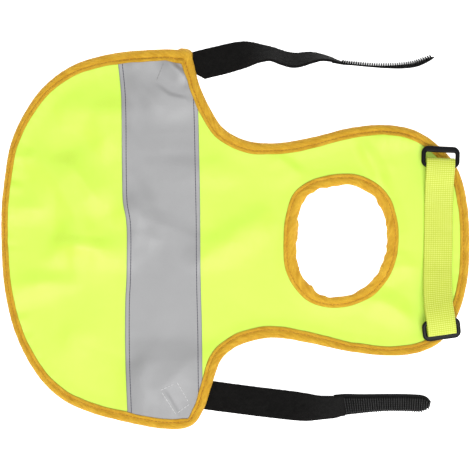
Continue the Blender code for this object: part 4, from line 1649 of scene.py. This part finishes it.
class VEST_OT_webbing(bpy.types.Operator):
    """Fold the chest webbing round the rings"""
    bl_idname = "vest.webbing"
    bl_label = "Chest Webbing"

    def execute(self, context):
        light = context.scene.vest_tapes.webbing_colour
        # Painted shade: the webbing's second tone is a darker copy of its yarns' colour, laid into the
        # hollows between its ribs.
        painted_rib_shade = tuple(c * share for c, share in zip(light, WEBBING_PAINTED_SHADE_SHARES))
        material = cloth_material(
            "Lime webbing", painted_rib_shade, light, 0.55, "Ribs", (RIB_PITCH * MM, 0.00145), 0.8,
            (150.0, 1500.0, 0.4), specular=0.4, hollow_shade=1.1, contrast=0.3)
        build_webbing(material)
        return {"FINISHED"}


class VEST_OT_rings(bpy.types.Operator):
    """Mould the two rings at the ends of the webbing"""
    bl_idname = "vest.rings"
    bl_label = "Rings"

    def execute(self, context):
        material = plastic_material(context.scene.vest_tapes)
        for row in RINGS:
            build_ring(*row, material)
        return {"FINISHED"}


class VEST_OT_stage(bpy.types.Operator):
    """Set up the white floor, the soft lights and the overhead camera"""
    bl_idname = "vest.stage"
    bl_label = "Stage"

    def execute(self, context):
        settings = context.scene.vest_stage
        scene = context.scene
        scene.view_settings.view_transform = "Standard"
        build_floor(settings)
        world = bpy.data.worlds.new("Soft box")
        world.use_nodes = True
        sky = world.node_tree.nodes["Background"]
        sky.inputs["Color"].default_value = (1.0, 1.0, 1.0, 1.0)
        sky.inputs["Strength"].default_value = settings.fill_strength
        scene.world = world
        for name, place, size, share in LIGHTS:
            add_light(name, place, size, settings.key_power * share)
        across = (PHOTO_SIZE / 2 - MIDDLE_PIXEL[0]) * MM_PER_PIXEL
        up = (MIDDLE_PIXEL[1] - PHOTO_SIZE / 2) * MM_PER_PIXEL
        camera = bpy.data.cameras.new("Overhead")
        camera.sensor_width = SENSOR
        camera.lens = SENSOR * CAMERA_HEIGHT / (PHOTO_SIZE * MM_PER_PIXEL)
        camera.clip_end = CAMERA_REACH
        scene.camera = linked("Overhead", camera)
        scene.camera.location = (Vector((across, up, CAMERA_HEIGHT)) - CENTRE) * MM
        return {"FINISHED"}


def build_floor(settings):
    """A plain white surface."""
    shape = bmesh.new()
    bmesh.ops.create_grid(shape, x_segments=1, y_segments=1, size=FLOOR_HALF_SIZE)
    material, _, _ = new_material(
        "White floor", Base_Color=(FLOOR_WHITE, FLOOR_WHITE, FLOOR_WHITE, 1.0), Roughness=0.9,
        Emission_Color=(1.0, 1.0, 1.0, 1.0), Emission_Strength=settings.floor_glow)
    floor = finish("floor", shape, material)


def add_light(name, place, size, power):
    """A square soft light that faces the vest."""
    light = bpy.data.lights.new(name, "AREA")
    light.shape = "SQUARE"
    light.size = size
    light.energy = power
    lamp = linked(name, light)
    lamp.location = place
    lamp.rotation_euler = Vector(place).to_track_quat("Z", "Y").to_euler()


class VEST_PT_sidebar(bpy.types.Panel):
    """The vest's pieces and what may be changed in them"""
    bl_idname = "VEST_PT_sidebar"
    bl_label = "Chicken Safety Vest"
    bl_space_type = "VIEW_3D"
    bl_region_type = "UI"
    bl_category = "Vest"

    def draw(self, context):
        scene = context.scene
        for settings in (scene.vest_cloth, scene.vest_tapes, scene.vest_stage):
            box = self.layout.box()
            for name in settings.__annotations__:
                box.prop(settings, name)
        for operator in OPERATORS:
            self.layout.operator(operator.bl_idname)


SETTINGS = (("vest_cloth", ClothSettings), ("vest_tapes", TapeSettings), ("vest_stage", StageSettings))
OPERATORS = (VEST_OT_stage, VEST_OT_panel, VEST_OT_reflective_tape, VEST_OT_bindings, VEST_OT_webbing,
             VEST_OT_rings, VEST_OT_straps)


def register():
    for _, settings in SETTINGS:
        bpy.utils.register_class(settings)
    for operator in OPERATORS:
        bpy.utils.register_class(operator)
    bpy.utils.register_class(VEST_PT_sidebar)
    for name, settings in SETTINGS:
        setattr(bpy.types.Scene, name, PointerProperty(type=settings))


def unregister():
    for name, _ in SETTINGS:
        delattr(bpy.types.Scene, name)
    bpy.utils.unregister_class(VEST_PT_sidebar)
    for operator in reversed(OPERATORS):
        bpy.utils.unregister_class(operator)
    for _, settings in reversed(SETTINGS):
        bpy.utils.unregister_class(settings)


def main():
    """Makes the stage and every piece."""
    register()
    bpy.ops.vest.stage()
    bpy.ops.vest.panel()
    bpy.ops.vest.reflective_tape()
    bpy.ops.vest.bindings()
    bpy.ops.vest.webbing()
    bpy.ops.vest.rings()
    bpy.ops.vest.straps()
    bpy.context.view_layer.update()


if __name__ == "__main__":
    main()
